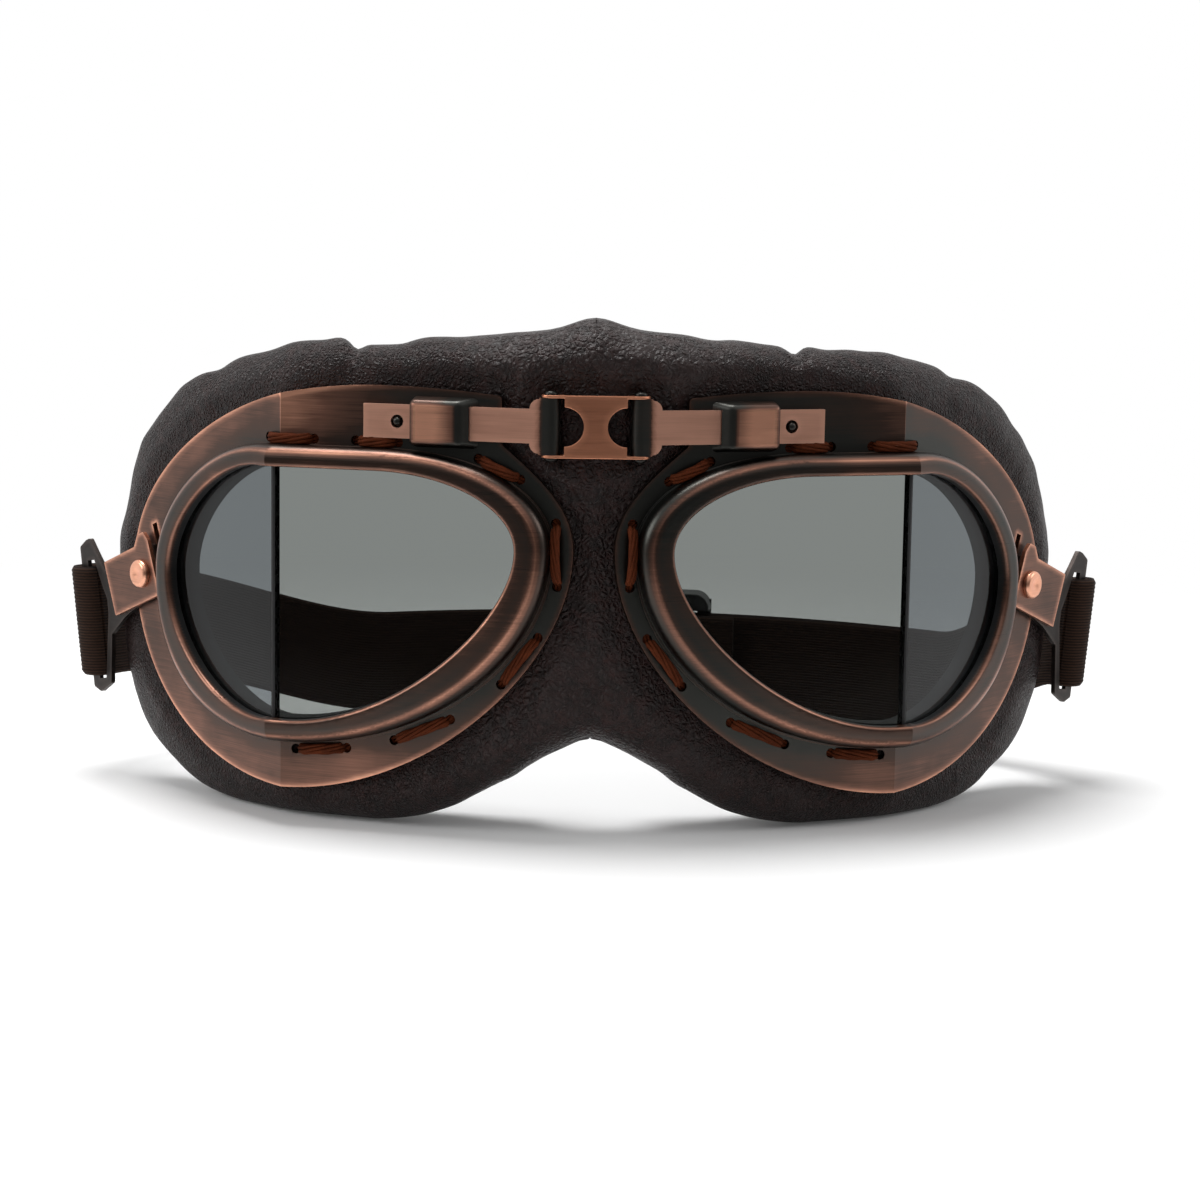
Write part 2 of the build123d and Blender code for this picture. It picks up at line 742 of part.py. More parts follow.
def eye_tunnel(margin, nose_margin):
    # The way through behind the lens, straight back from both leaves
    face = eye_face(nose_margin, margin, margin, margin)
    start = Pos(0, 0, -plate_thick / 2)
    front = front_leaf.location * start * (face & Pos(-overrun / 2, 0, 0) * Rectangle(overrun, 2 * overrun))
    side = side_leaf.location * start * (face & Pos(overrun / 2, 0, 0) * Rectangle(overrun, 2 * overrun))
    return extrude(front, amount=overrun, dir=(0, 1, 0)) + extrude(side, amount=overrun, dir=(0, 1, 0))


def lace_groove():
    outer = lace_out + groove_half
    inner = lace_out - groove_half
    ring = rim_face(outer, lace_top_out + groove_half) - rim_face(inner, lace_top_out - groove_half)
    return folded(slab(ring, -plate_thick - groove_depth, 0))


def bridge_pocket():
    depth = knuckle_r + bridge_pocket_clear
    block = Box(2 * bridge_pocket_half, 2 * depth, bridge_pocket_height)
    return Pos(0, 0, bridge_level) * block


def mask_side():
    shell = padded_shell()
    shell -= Pos(-overrun + mask_split + mask_joint, 0, 0) * Box(2 * overrun, 3 * overrun, 3 * overrun)
    shell -= eye_tunnel(window_margin, window_nose_margin)
    shell -= lace_groove()
    shell -= bridge_pocket()
    tail = on_rivet() * Cylinder(rivet_tail_r + fit_gap, 2 * (plate_thick + rivet_tail_h + fit_gap))
    return shell - tail


def mask_nose():
    half = padded_shell() & Pos(mask_split / 2, 0, 0) * Box(mask_split, 3 * overrun, 3 * overrun)
    half -= eye_tunnel(window_margin, window_nose_margin)
    half -= lace_groove()
    half -= bridge_pocket()
    return half + mirror(half, about=Plane.YZ)


def face_pad():
    # The foam ring between the mask and the face, rounded on the side that meets the skin
    face = mask_outline(pad_inset)
    keep = Pos(overrun / 2 + pad_split, 0, 0) * Box(overrun, overrun, 3 * overrun)
    ring = upright(face) & back_wall(pad_thick) - back_wall(0)
    ring = fillet(rim_edges(ring, face, face_radius)[0], pad_round)
    ring -= eye_tunnel(window_margin + pad_window, window_nose_margin)
    return ring & keep


def eye_pieces():
    return {
        "frame_plate": frame_plate(),
        "bezel": bezel(),
        "front_lens": lens_pane(False),
        "side_lens": lens_pane(True),
        "lens_strip": lens_strip(),
        "lens_seat": lens_seat(),
        "lace": lace(),
        "bridge_arm": bridge_arm(),
        "arm_clip": arm_clip(),
        "arm_stud": arm_stud(),
        "hinge_pin": hinge_pin(),
        "strap_rivet": strap_rivet(),
        "strap_bracket": strap_bracket(),
        "strap_hook": strap_hook(),
        "mask_side": mask_side(),
        "face_pad": face_pad(),
    }


def all_pieces():
    pieces = {}
    for name, shape in eye_pieces().items():
        pieces[name + "_right"] = shape
        pieces[name + "_left"] = mirror(shape, about=Plane.YZ)
    pieces["bridge_link"] = bridge_link()
    pieces["mask_nose"] = mask_nose()
    pieces["elastic_strap"] = elastic_strap()
    pieces["strap_slider"] = strap_slider()
    return pieces


pieces = all_pieces()
whole = Compound(children=[Compound(shape.wrapped) for shape in pieces.values()])
box = whole.bounding_box()
shift = Pos(0, -box.center().Y, 0)
print("whole", box.size, "low", box.min, "shift back", round(-box.center().Y, 3))
os.makedirs("parts", exist_ok=True)
for name, shape in pieces.items():
    export_step(shift * shape, "parts/" + name + ".step")
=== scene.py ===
import math

import bmesh
import bpy
from mathutils import Matrix, Vector, geometry, noise
from mathutils.bvhtree import BVHTree
from mathutils.kdtree import KDTree


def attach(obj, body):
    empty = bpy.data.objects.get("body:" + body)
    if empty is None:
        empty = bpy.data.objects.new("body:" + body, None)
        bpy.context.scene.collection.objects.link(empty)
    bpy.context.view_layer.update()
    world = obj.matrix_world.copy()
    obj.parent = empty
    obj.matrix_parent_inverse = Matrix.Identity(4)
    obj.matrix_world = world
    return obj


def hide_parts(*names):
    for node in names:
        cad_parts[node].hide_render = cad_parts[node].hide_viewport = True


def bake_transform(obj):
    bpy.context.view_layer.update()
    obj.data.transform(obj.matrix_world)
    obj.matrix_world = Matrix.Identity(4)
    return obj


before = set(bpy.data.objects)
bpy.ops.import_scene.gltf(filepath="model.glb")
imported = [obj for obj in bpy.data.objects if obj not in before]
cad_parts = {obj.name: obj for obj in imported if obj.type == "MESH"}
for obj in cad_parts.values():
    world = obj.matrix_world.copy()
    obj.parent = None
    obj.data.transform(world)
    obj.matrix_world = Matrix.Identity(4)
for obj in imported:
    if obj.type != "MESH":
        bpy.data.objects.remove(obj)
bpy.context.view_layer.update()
mm = 0.001

# View of the goggles from the front, a little from their own right and from above the rims
lens_mm = 82.5
sensor_mm = 36.0
camera_place = Vector((-12.998, -614.68, 125.0)) * mm
camera_yaw = math.radians(1.5)
camera_pitch = math.radians(7.8)
camera_roll = math.radians(0.905)
ahead = Vector((math.sin(camera_yaw) * math.cos(camera_pitch),
                math.cos(camera_yaw) * math.cos(camera_pitch), -math.sin(camera_pitch)))
rightward = ahead.cross(Vector((0, 0, 1))).normalized()
upward = rightward.cross(ahead)


def new_object(name, data):
    made = bpy.data.objects.new(name, data)
    bpy.context.collection.objects.link(made)
    return made


camera_data = bpy.data.cameras.new("camera")
camera_data.lens = lens_mm
camera_data.sensor_width = sensor_mm
camera_data.sensor_fit = "HORIZONTAL"
camera_data.clip_start = 0.01
camera = new_object("camera", camera_data)
turned = Matrix((rightward, upward, -ahead)).transposed() @ Matrix.Rotation(camera_roll, 3, "Z")
camera.matrix_world = Matrix.Translation(camera_place) @ turned.to_4x4()
bpy.context.scene.camera = camera
bpy.context.scene.view_settings.view_transform = "Standard"


def new_material(name):
    # An empty material with its own shader and output
    material = bpy.data.materials.new(name)
    material.use_nodes = True
    tree = material.node_tree
    tree.nodes.clear()
    shader = tree.nodes.new("ShaderNodeBsdfPrincipled")
    output = tree.nodes.new("ShaderNodeOutputMaterial")
    tree.links.new(shader.outputs["BSDF"], output.inputs["Surface"])
    return material, tree, shader


def plug(tree, socket, value):
    # Link a socket to another one, or set it
    if isinstance(value, bpy.types.NodeSocket):
        tree.links.new(value, socket)
    else:
        socket.default_value = value


def add_node(tree, kind, settings=None, **values):
    # One shader node, with its settings, and its sockets linked or set
    node = tree.nodes.new("ShaderNode" + kind)
    for key, value in (settings or {}).items():
        setattr(node, key, value)
    for key, value in values.items():
        numbered = key[0] == "i" and key[1:].isdigit()
        plug(tree, node.inputs[int(key[1:]) if numbered else key], value)
    return node


def surface(tree, shader, colour, rough, bump=None, **others):
    # Give a shader its colour, roughness, bump of (height, strength, depth) and other values
    if bump:
        made = add_node(tree, "Bump", Height=bump[0], Strength=bump[1], Distance=bump[2])
        others["Normal"] = made.outputs[0]
    for name, value in (("Base Color", colour), ("Roughness", rough), *others.items()):
        plug(tree, shader.inputs[name.replace("_", " ")], value)


def maths(tree, operation, first, second=0.0, clamp=False):
    node = add_node(tree, "Math", {"operation": operation, "use_clamp": clamp}, i0=first, i1=second)
    return node.outputs[0]


def scaled(tree, value, factor, base=0.0):
    node = add_node(tree, "Math", {"operation": "MULTIPLY_ADD"}, i0=value, i1=factor, i2=base)
    return node.outputs[0]


def ramped(tree, value, low, high, first=0.0, last=1.0, kind="SMOOTHSTEP"):
    # What a value that goes from low to high makes of first and last
    node = add_node(tree, "MapRange", {"interpolation_type": kind}, Value=value)
    for name, limit in (("From Min", low), ("From Max", high), ("To Min", first), ("To Max", last)):
        node.inputs[name].default_value = limit
    return node.outputs[0]


def mixed(tree, share, first, second):
    # Two colours mixed by a share
    return add_node(tree, "Mix", {"data_type": "RGBA"}, i0=share, i6=first, i7=second).outputs[2]


def between_two(tree, share, first, second):
    # Two numbers mixed by a share
    return add_node(tree, "Mix", {"data_type": "FLOAT"}, i0=share, i2=first, i3=second).outputs[0]


def place_in(tree):
    return add_node(tree, "TexCoord").outputs["Object"]


# Plain pale floor, white round about, and a dim studio in front for the metal to reflect
floor_half = 4.0
floor_white = (0.86, 0.86, 0.86, 1)
floor_glow = 0.04
floor_plain_from = 0.13
floor_plain_to = 0.42
front_dim_from = -0.09
front_dim_to = -0.26
front_dim_share = 0.86
floor_rough = 0.9
floor_drop = 0.0002
bpy.ops.object.select_all(action="DESELECT")
bpy.ops.mesh.primitive_plane_add(size=2 * floor_half, location=(0, 0, -floor_drop))
floor = bpy.context.object
floor.name = "floor"
floor_material, tree, shader = new_material("white_floor")
path = add_node(tree, "LightPath")
seen = maths(tree, "ADD", path.outputs["Is Camera Ray"], path.outputs["Is Glossy Ray"])
seen = maths(tree, "ADD", seen, path.outputs["Is Transmission Ray"], clamp=True)
floor_place = place_in(tree)
away = add_node(tree, "VectorMath", {"operation": "LENGTH"}, i0=floor_place)
plain = ramped(tree, away.outputs["Value"], floor_plain_from, floor_plain_to)
forward = add_node(tree, "SeparateXYZ", i0=floor_place).outputs[1]
front_dim = ramped(tree, forward, front_dim_from, front_dim_to)
dimmed = maths(tree, "MULTIPLY", front_dim, path.outputs["Is Glossy Ray"])
kept_share = scaled(tree, dimmed, -front_dim_share, 1.0)
glow = maths(tree, "MULTIPLY", seen, scaled(tree, plain, 1 - floor_glow, floor_glow))
near_share = maths(tree, "SUBTRACT", 1.0, maths(tree, "MULTIPLY", plain, seen))
near_share = maths(tree, "MULTIPLY", near_share, kept_share)
surface(tree, shader, mixed(tree, near_share, (0, 0, 0, 1), floor_white), floor_rough,
        Specular_IOR_Level=0.0, Emission_Color=(1, 1, 1, 1),
        Emission_Strength=maths(tree, "MULTIPLY", glow, kept_share))
floor.data.materials.append(floor_material)

world = bpy.data.worlds.new("studio")
bpy.context.scene.world = world
world.use_nodes = True
tree = world.node_tree
tree.nodes.clear()
path = add_node(tree, "LightPath")
direction = add_node(tree, "SeparateXYZ", i0=add_node(tree, "TexCoord").outputs["Generated"])
room_dark = 0.11
room_light = 0.42
back_share = ramped(tree, direction.outputs[1], -0.85, 0.35, first=room_dark)
rise_share = ramped(tree, direction.outputs[2], 0.05, 0.75, last=0.75)
glossy_room = maths(tree, "MAXIMUM", back_share, rise_share)
behind = maths(tree, "GREATER_THAN", direction.outputs[1], 0.0)
through_glass = maths(tree, "MULTIPLY", path.outputs["Is Transmission Ray"], behind)
white_seen = maths(tree, "ADD", path.outputs["Is Camera Ray"], through_glass, clamp=True)
mirrored_share = maths(tree, "MAXIMUM", path.outputs["Is Glossy Ray"], path.outputs["Is Transmission Ray"])
level = between_two(tree, white_seen, between_two(tree, mirrored_share, room_light, glossy_room), 1.0)
background = add_node(tree, "Background", Color=(1, 1, 1, 1), Strength=level)
output = tree.nodes.new("ShaderNodeOutputWorld")
tree.links.new(background.outputs[0], output.inputs["Surface"])


def soft_lamp(name, place, target, size, watts):
    data = bpy.data.lights.new(name, "AREA")
    data.shape = "DISK"
    data.size = size
    data.energy = watts
    lamp = new_object(name, data)
    lamp.location = place
    lamp.rotation_euler = (Vector(target) - Vector(place)).to_track_quat("-Z", "Y").to_euler()


soft_lamp("top_lamp", (-0.15, 0.15, 1.1), (0, -0.02, 0.04), 0.6, 11.4)
soft_lamp("left_lamp", (-0.95, -0.35, 0.55), (0, -0.02, 0.05), 0.6, 3.2)
soft_lamp("right_lamp", (0.95, -0.15, 0.6), (0, -0.02, 0.05), 0.5, 1.6)

# The folded line of each eye: a front leaf from the nose hinge and a side leaf beyond the fold.
# Shapes are laid out flat along the leaves, u from the fold, v up from the table, h outward.
shift_back = -64.831
leaf_angle = math.radians(18)
side_angle = math.radians(48)
leaf_length = 58.2
pin_out = 9.0
pin_setback = 0.5
front_dir = Vector((math.cos(leaf_angle), math.sin(leaf_angle), 0))
front_out = Vector((math.sin(leaf_angle), -math.cos(leaf_angle), 0))
side_dir = Vector((math.cos(side_angle), math.sin(side_angle), 0))
side_out = Vector((math.sin(side_angle), -math.cos(side_angle), 0))
fold_point = Vector((pin_out, shift_back, 0)) + front_out * pin_setback + front_dir * leaf_length


def on_leaf(u, v, h):
    # A place on the folded frame of the right eye, in metres
    along, out = (side_dir, side_out) if u > 0 else (front_dir, front_out)
    return (fold_point + along * u + out * h + Vector((0, 0, v))) * mm


def off_leaf(place):
    # The flat place, and the height over the plates, of a point of either eye
    from_fold = Vector((abs(place.x), place.y, place.z)) / mm - fold_point
    beyond = from_fold.dot(front_dir + side_dir) > 0
    along, out = (side_dir, side_out) if beyond else (front_dir, front_out)
    return Vector((from_fold.dot(along), from_fold.z, 0)), from_fold.dot(out)


opening_front = 52.3
opening_side = 33.8
lens_base = 22.0
lens_height = 52.6
merge_within = 0.002
top_run = 22.0
bottom_run = 2.0
fold_flat = 1.5
nose_level_share = 0.713
temple_level_share = 0.522
corner_shares = {"nose_top": (0.56, 0.56), "nose_foot": (0.37, 0.50),
                 "temple_foot": (0.50, 0.54), "temple_top": (0.47, 0.47)}
growth_shares = {"nose_top": (0.4, 0.4), "nose_foot": (1.2, 0.7),
                 "temple_foot": (1.0, 1.0), "temple_top": (0.3, 0.3)}


def quarter(start, end, corner, share, count):
    # One rounded quarter of an outline, without its last point
    first = [a + (b - a) * share[0] for a, b in zip(start, corner)]
    last = [a + (b - a) * share[1] for a, b in zip(end, corner)]
    found = geometry.interpolate_bezier(Vector((*start, 0)), Vector((*first, 0)), Vector((*last, 0)),
                                        Vector((*end, 0)), count + 1)
    return [(p.x, p.y) for p in found[:-1]]


def eye_line(nose_out, top_out, temple_out, bottom_out, count=48):
    # The lens opening grown by a margin on each side, as a closed line of flat points
    nose = -(opening_front + nose_out)
    temple = opening_side + temple_out
    top = lens_base + lens_height + top_out
    bottom = lens_base - bottom_out
    nose_at = (nose, lens_base + nose_level_share * lens_height)
    temple_at = (temple, lens_base + temple_level_share * lens_height)
    margins = {"nose_top": nose_out + top_out, "nose_foot": nose_out + bottom_out,
               "temple_foot": temple_out + bottom_out, "temple_top": temple_out + top_out}
    shares = {}
    for name, (first, second) in corner_shares.items():
        grown = margins[name] / 2 / lens_height
        shares[name] = (first + growth_shares[name][0] * grown, second + growth_shares[name][1] * grown)
    straight = count // 2
    points = [(fold_flat + (-top_run - fold_flat) * i / straight, top) for i in range(straight)]
    points += quarter((-top_run, top), nose_at, (nose, top), shares["nose_top"], count)
    points += quarter(nose_at, (-bottom_run, bottom), (nose, bottom), shares["nose_foot"], count)
    points += [(-bottom_run + (fold_flat + bottom_run) * i / 4, bottom) for i in range(4)]
    points += quarter((fold_flat, bottom), temple_at, (temple, bottom), shares["temple_foot"], count)
    points += quarter(temple_at, (fold_flat, top), (temple, top), shares["temple_top"], count)
    return points


def tree_of(points):
    # A search tree over points, for distances
    found = KDTree(len(points))
    for number, point in enumerate(points):
        found.insert(Vector(point).to_3d(), number)
    found.balance()
    return found


def softly(value):
    value = min(max(value, 0.0), 1.0)
    return value * value * (3 - 2 * value)


def work_on(piece, editing=False):
    # Select one piece only, and open its mesh with all of it selected
    bpy.ops.object.select_all(action="DESELECT")
    piece.select_set(True)
    bpy.context.view_layer.objects.active = piece
    if editing:
        bpy.ops.object.mode_set(mode="EDIT")
        bpy.ops.mesh.select_all(action="SELECT")


def mesh_object(name, points, faces):
    # A new piece from its points and faces, with its normals turned outward
    mesh = bpy.data.meshes.new(name)
    mesh.from_pydata(points, [], faces)
    piece = new_object(name, mesh)
    work_on(piece, editing=True)
    bpy.ops.mesh.remove_doubles(threshold=merge_within * mm)
    bpy.ops.mesh.normals_make_consistent(inside=False)
    bpy.ops.object.mode_set(mode="OBJECT")
    bpy.ops.object.shade_smooth()
    return piece


def ring_faces(rows, width):
    # The faces of a closed ring of rows, each of them a closed line of points
    faces = []
    for near, far in ((a * width, (a + 1) % rows * width) for a in range(rows)):
        turns = ((b, (b + 1) % width) for b in range(width))
        faces += [(near + b, near + c, far + c, far + b) for b, c in turns]
    return faces


def side_name(side):
    return "right" if side > 0 else "left"


# Leather mask: dark brown creased hide wrapped over foam, one half for each eye, joined over
# the nose. The hide swells round the metal plates, tucks in behind the bridge and is pleated
# where it turns over the top edge.
mask_outline = ((0, 106), (9, 103.6), (23.4, 102), (35.7, 100.8), (42, 99.6), (58.6, 99.4), (67.8, 97.5),
                (78.7, 93.7), (87.7, 88.8), (93.2, 82.9), (98.9, 75.8), (102.4, 65.6), (104.8, 56.5),
                (105.3, 49.7), (105.0, 40), (104.4, 31.7), (101.8, 21), (96.4, 10.6), (90.5, 5.4),
                (83.3, 1.5), (74.5, 0), (64, 0), (53, 0), (42.3, 0.2), (31.8, 2.5), (22.4, 7.2),
                (12.2, 13.7), (5.1, 17.6), (0, 19.5))
outline_before = (-9, 103.6)
outline_after = (-5.1, 17.6)
outline_step = 2.0
edge_lumps = ((0.055, 7, 1, 0.9), (0.16, 3, 5, 0.45))
nose_calm = 12.0
foot_from = 0.4
foot_calm = 6.0
pleats_over = 60.0
mask_window = 2.6
mask_nose_window = 4.2
mask_swell = 2.3
swell_reach = 7.0
ease_reach = 9.0
fold_ease = 6.5
front_roll = 9.0
back_roll = 4.0
face_centre = 144.0 + shift_back
mask_back_radius = 127.05
hide_clear = 0.25
plate_thick = 1.2
fold_round_least = 1.6
nose_round = 1.2
eye_middle = Vector((52.0, 50.0))
ray_length = 200.0
ray_start = 60.0
tuck_reach = 1.3
crowding = 1.35
core_share = 0.6
metal_gap = 0.5
edge_fade = 3.0
around_count = 300
seam_count = 80
across_count = 34
wall_count = 8
pleats = {1: ((41.0, 1.3, 1.6), (77.0, 0.5, 2.4)), -1: ((49.0, 1.4, 1.6), (80.0, 0.7, 2.6))}


def through(points, before, after, step):
    # A smooth line through given points, sampled evenly
    knots = [Vector(p).to_2d() for p in (before, *points, after)]
    line = []
    for a, b, c, d in zip(knots, knots[1:], knots[2:], knots[3:]):
        parts = max(2, math.ceil((c - b).length / step))
        for i in range(parts):
            t = i / parts
            line.append(0.5 * (2 * b + (c - a) * t + (2 * a - 5 * b + 4 * c - d) * t * t
                               + (3 * b - a - 3 * c + d) * t ** 3))
    line.append(knots[-2])
    return line


def evenly(line, count):
    # The same open line with a given number of equal steps
    lengths = [0.0]
    for a, b in zip(line, line[1:]):
        lengths.append(lengths[-1] + (b - a).length)
    found, place = [], 0
    for i in range(count + 1):
        goal = lengths[-1] * i / count
        while place < len(line) - 2 and lengths[place + 1] < goal:
            place += 1
        span = lengths[place + 1] - lengths[place]
        share = 0 if span == 0 else (goal - lengths[place]) / span
        found.append(line[place].lerp(line[place + 1], min(max(share, 0), 1)))
    return found


def mask_line(count):
    # The outline of one half, from the top of the nose round to the nose arch
    return evenly(through(mask_outline, outline_before, outline_after, outline_step), count)


def mask_edge(side):
    # That outline with its lumps and pleats, level at the foot and calm at the nose
    found = []
    for point in mask_line(around_count):
        near = softly(point.x / nose_calm)
        lump = 0.0
        for pace, shift, layer, size in edge_lumps:
            spot = Vector((point.x * pace + shift * side, point.y * pace, layer * side))
            lump += noise.noise(spot) * size
        foot = softly((point.y - foot_from) / foot_calm)
        outward = (point - eye_middle).normalized()
        dip = 0.0
        if point.y > pleats_over:
            for place, depth, width in pleats[side]:
                away = (point.x - place) / width
                dip += depth * (math.exp(-away * away) - 0.45 * math.exp(-(away - 2.2) ** 2 / 2.5))
        moved = point + outward * (lump * near * foot - dip * near)
        found.append(Vector((moved.x, max(moved.y, 0.0))))
    return found


def plan_depth(x, fold_round=fold_round_least):
    # How far back the front of the hide lies behind the plates, at a distance from the middle
    seat = -plate_thick - hide_clear
    nose = Vector((pin_out, shift_back, 0)) + front_out * (pin_setback + seat)
    corner = fold_point + front_out * seat + front_dir * (seat * math.tan((side_angle - leaf_angle) / 2))
    front = nose.y + math.tan(leaf_angle) * (x - nose.x)
    side = corner.y + math.tan(side_angle) * (x - corner.x)
    first = (nose.y + front + math.hypot(nose.y - front, nose_round)) / 2
    return (first + side + math.hypot(first - side, fold_round)) / 2


def rolled(away, reach):
    # How far a padded edge has risen, as a quarter circle, at a distance from its outline
    return math.sqrt(max(0.0, 1 - (1 - min(away / reach, 1)) ** 2))


def back_depth(x, radius):
    return face_centre - math.sqrt(radius * radius - min(abs(x), radius - 1) ** 2)


def hardware_tree():
    # The metal that lies on the hide, as one surface to measure from
    points, faces = [], []
    names = ["bridge_link"]
    for name in ("frame_plate", "bridge_arm", "hinge_pin", "strap_rivet"):
        names += [name + "_right", name + "_left"]
    for name in names:
        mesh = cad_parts[name].data
        first = len(points)
        points += [v.co.copy() for v in mesh.vertices]
        faces += [[first + i for i in p.vertices] for p in mesh.polygons]
    return BVHTree.FromPolygons(points, faces)


hardware = hardware_tree()


def window_line(nose_margin, margin):
    # The window in the padding of one eye, as flat points seen from the front
    places = (on_leaf(u, v, -plate_thick) for u, v in eye_line(nose_margin, margin, margin, margin))
    return [Vector((p.x, p.z)) / mm for p in places]


def inner_ray(line, middle, toward):
    # Where a ray from the middle of the eye crosses a closed line round it
    best = None
    for a, b in zip(line, line[1:] + line[:1]):
        hit = geometry.intersect_line_line_2d(middle, middle + toward * ray_length, a, b)
        if hit is not None:
            best = hit
    return best


def tucked(x, y, z):
    # Push a place on the hide back until it clears the metal over it
    deepest = y
    for dx, dz in ((0, 0), (1, 0), (-1, 0), (0, 1), (0, -1)):
        start = Vector((x + dx * tuck_reach, ray_start, z + dz * tuck_reach)) * mm
        hit = hardware.ray_cast(start, Vector((0, -1, 0)))[0]
        if hit is not None:
            deepest = max(deepest, hit.y / mm + hide_clear)
    return deepest


def crumple(point, side):
    # Slow swells and finer creases of the hide
    slow = noise.noise(point * 0.035 + Vector((side * 11, 0, 0)))
    fine = noise.noise(Vector((point.x * 0.11, point.y * 0.05, point.z * 0.16)) + Vector((0, side * 5, 0)))
    ridge = 1 - abs(noise.noise(Vector((point.x * 0.07, point.y * 0.07, point.z * 0.07 + side * 3)))) * 2.2
    return (0.7 * slow + 0.35 * fine + 0.35 * max(ridge, 0) ** 3) * softly(abs(point.x) / 9)


def mask_half(side):
    outer = mask_edge(side)
    edge_points = [Vector((sign * p.x, 0, p.y)) for p in outer for sign in (1, -1)]
    edge_tree = tree_of(edge_points)
    inner_flat = window_line(mask_nose_window, mask_window)
    seam = [outer[-1].lerp(outer[0], i / seam_count) for i in range(1, seam_count)]
    fronts, backs = [], []
    for number, edge in enumerate(outer + seam):
        inner = inner_ray(inner_flat, eye_middle, (edge - eye_middle).normalized())
        front_row, back_row = [], []
        for step in range(across_count + 1):
            share = step / across_count
            flat = inner.lerp(edge, 1 - (1 - share) ** crowding)
            x, z = flat.x, flat.y
            rim = step == across_count and number < len(outer)
            away = 0.0 if rim else edge_tree.find(Vector((x, 0, z)))[2]
            roll = rolled(away, front_roll)
            tail = rolled(away, back_roll)
            front = plan_depth(x)
            back = back_depth(x, mask_back_radius)
            middle = front * (1 - core_share) + back * core_share
            spot = Vector((x, front, z)) * mm
            gap = hardware.find_nearest(spot)[3] / mm
            front = plan_depth(x, fold_round_least + fold_ease * softly((gap - metal_gap) / ease_reach))
            swell = mask_swell * softly((gap - metal_gap) / swell_reach)
            loose = softly((gap - 1.0) / 4.0)
            fold = crumple(Vector((x * side, front, z)), side) * loose
            high = middle + (front - swell - middle) * roll - fold * min(1, away / edge_fade)
            high = min(tucked(x, high, z), back - 1.0)
            if rim:
                high = middle
            low = middle + (back - middle) * tail
            front_row.append(Vector((x * side, high, z)) * mm)
            back_row.append(Vector((x * side, low, z)) * mm)
        fronts.append(front_row)
        backs.append(back_row)
    points = []
    for front_row, back_row in zip(fronts, backs):
        wall = [back_row[0].lerp(front_row[0], i / wall_count) for i in range(1, wall_count)]
        points += front_row + back_row[::-1] + wall
    faces = ring_faces(len(fronts), 2 * (across_count + 1) + wall_count - 1)
    piece = mesh_object("leather_mask_" + side_name(side), points, faces)
    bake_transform(piece)
    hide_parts("mask_side_" + side_name(side), "mask_nose")
    return piece


def group(name, inputs, outputs):
    # A shader node group with named sockets
    made = bpy.data.node_groups.new(name, "ShaderNodeTree")
    for socket, kind in inputs:
        made.interface.new_socket(socket, in_out="INPUT", socket_type="NodeSocket" + kind)
    for socket, kind in outputs:
        made.interface.new_socket(socket, in_out="OUTPUT", socket_type="NodeSocket" + kind)
    start = made.nodes.new("NodeGroupInput")
    end = made.nodes.new("NodeGroupOutput")
    return made, start, end


def use_group(tree, made, **values):
    node = tree.nodes.new("ShaderNodeGroup")
    node.node_tree = made
    for key, value in values.items():
        plug(tree, node.inputs[key], value)
    return node


def speckle(tree, place, scale, detail):
    return add_node(tree, "TexNoise", Vector=place, Scale=scale, Detail=detail).outputs["Fac"]


def hide_grain_group():
    # Pebbled hide: small uneven cells, crooked creases a few millimetres apart, and a fine nap
    made, start, end = group("hide_grain", [("Vector", "Vector"), ("Cells", "Float"), ("Creases", "Float")],
                             [("Height", "Float"), ("Valley", "Float"), ("Nap", "Float")])
    place = start.outputs["Vector"]
    warp = add_node(made, "TexNoise", Vector=place, Scale=420.0, Detail=3.0)
    shifted = add_node(made, "MixRGB", {"blend_type": "LINEAR_LIGHT"}, i0=0.0012, i1=place,
                       i2=warp.outputs["Color"])
    cells = add_node(made, "TexVoronoi", {"feature": "DISTANCE_TO_EDGE"}, Vector=shifted.outputs[0],
                     Scale=start.outputs["Cells"])
    pebble = ramped(made, cells.outputs["Distance"], 0.0, 0.42)
    creased = add_node(made, "TexNoise", {"noise_type": "RIDGED_MULTIFRACTAL"}, Vector=shifted.outputs[0],
                       Scale=start.outputs["Creases"], Detail=3.0)
    crease = ramped(made, creased.outputs["Fac"], 0.35, 1.1)
    fine = speckle(made, place, 2600.0, 4.0)
    broken = ramped(made, speckle(made, place, 75.0, 4.0), 0.22, 0.46, kind="LINEAR")
    valley = maths(made, "MULTIPLY", maths(made, "SUBTRACT", 1.0, pebble), broken)
    height = scaled(made, crease, -1.1, maths(made, "SUBTRACT", scaled(made, fine, 0.16), valley))
    deepest = maths(made, "MAXIMUM", valley, crease)
    for name, value in (("Height", height), ("Valley", deepest), ("Nap", fine)):
        made.links.new(value, end.inputs[name])
    return made


hide_dark = (0.0070, 0.0044, 0.0040, 1)
hide_brown = (0.0185, 0.0112, 0.0104, 1)
hide_pale = (0.0270, 0.0160, 0.0150, 1)
hide_red = (0.040, 0.0150, 0.0130, 1)
hide_cells = 1150.0
hide_creases = 130.0
nose_cells = 760.0
nose_creases = 330.0
nose_from = 0.017
nose_to = 0.032
hide_grain = hide_grain_group()


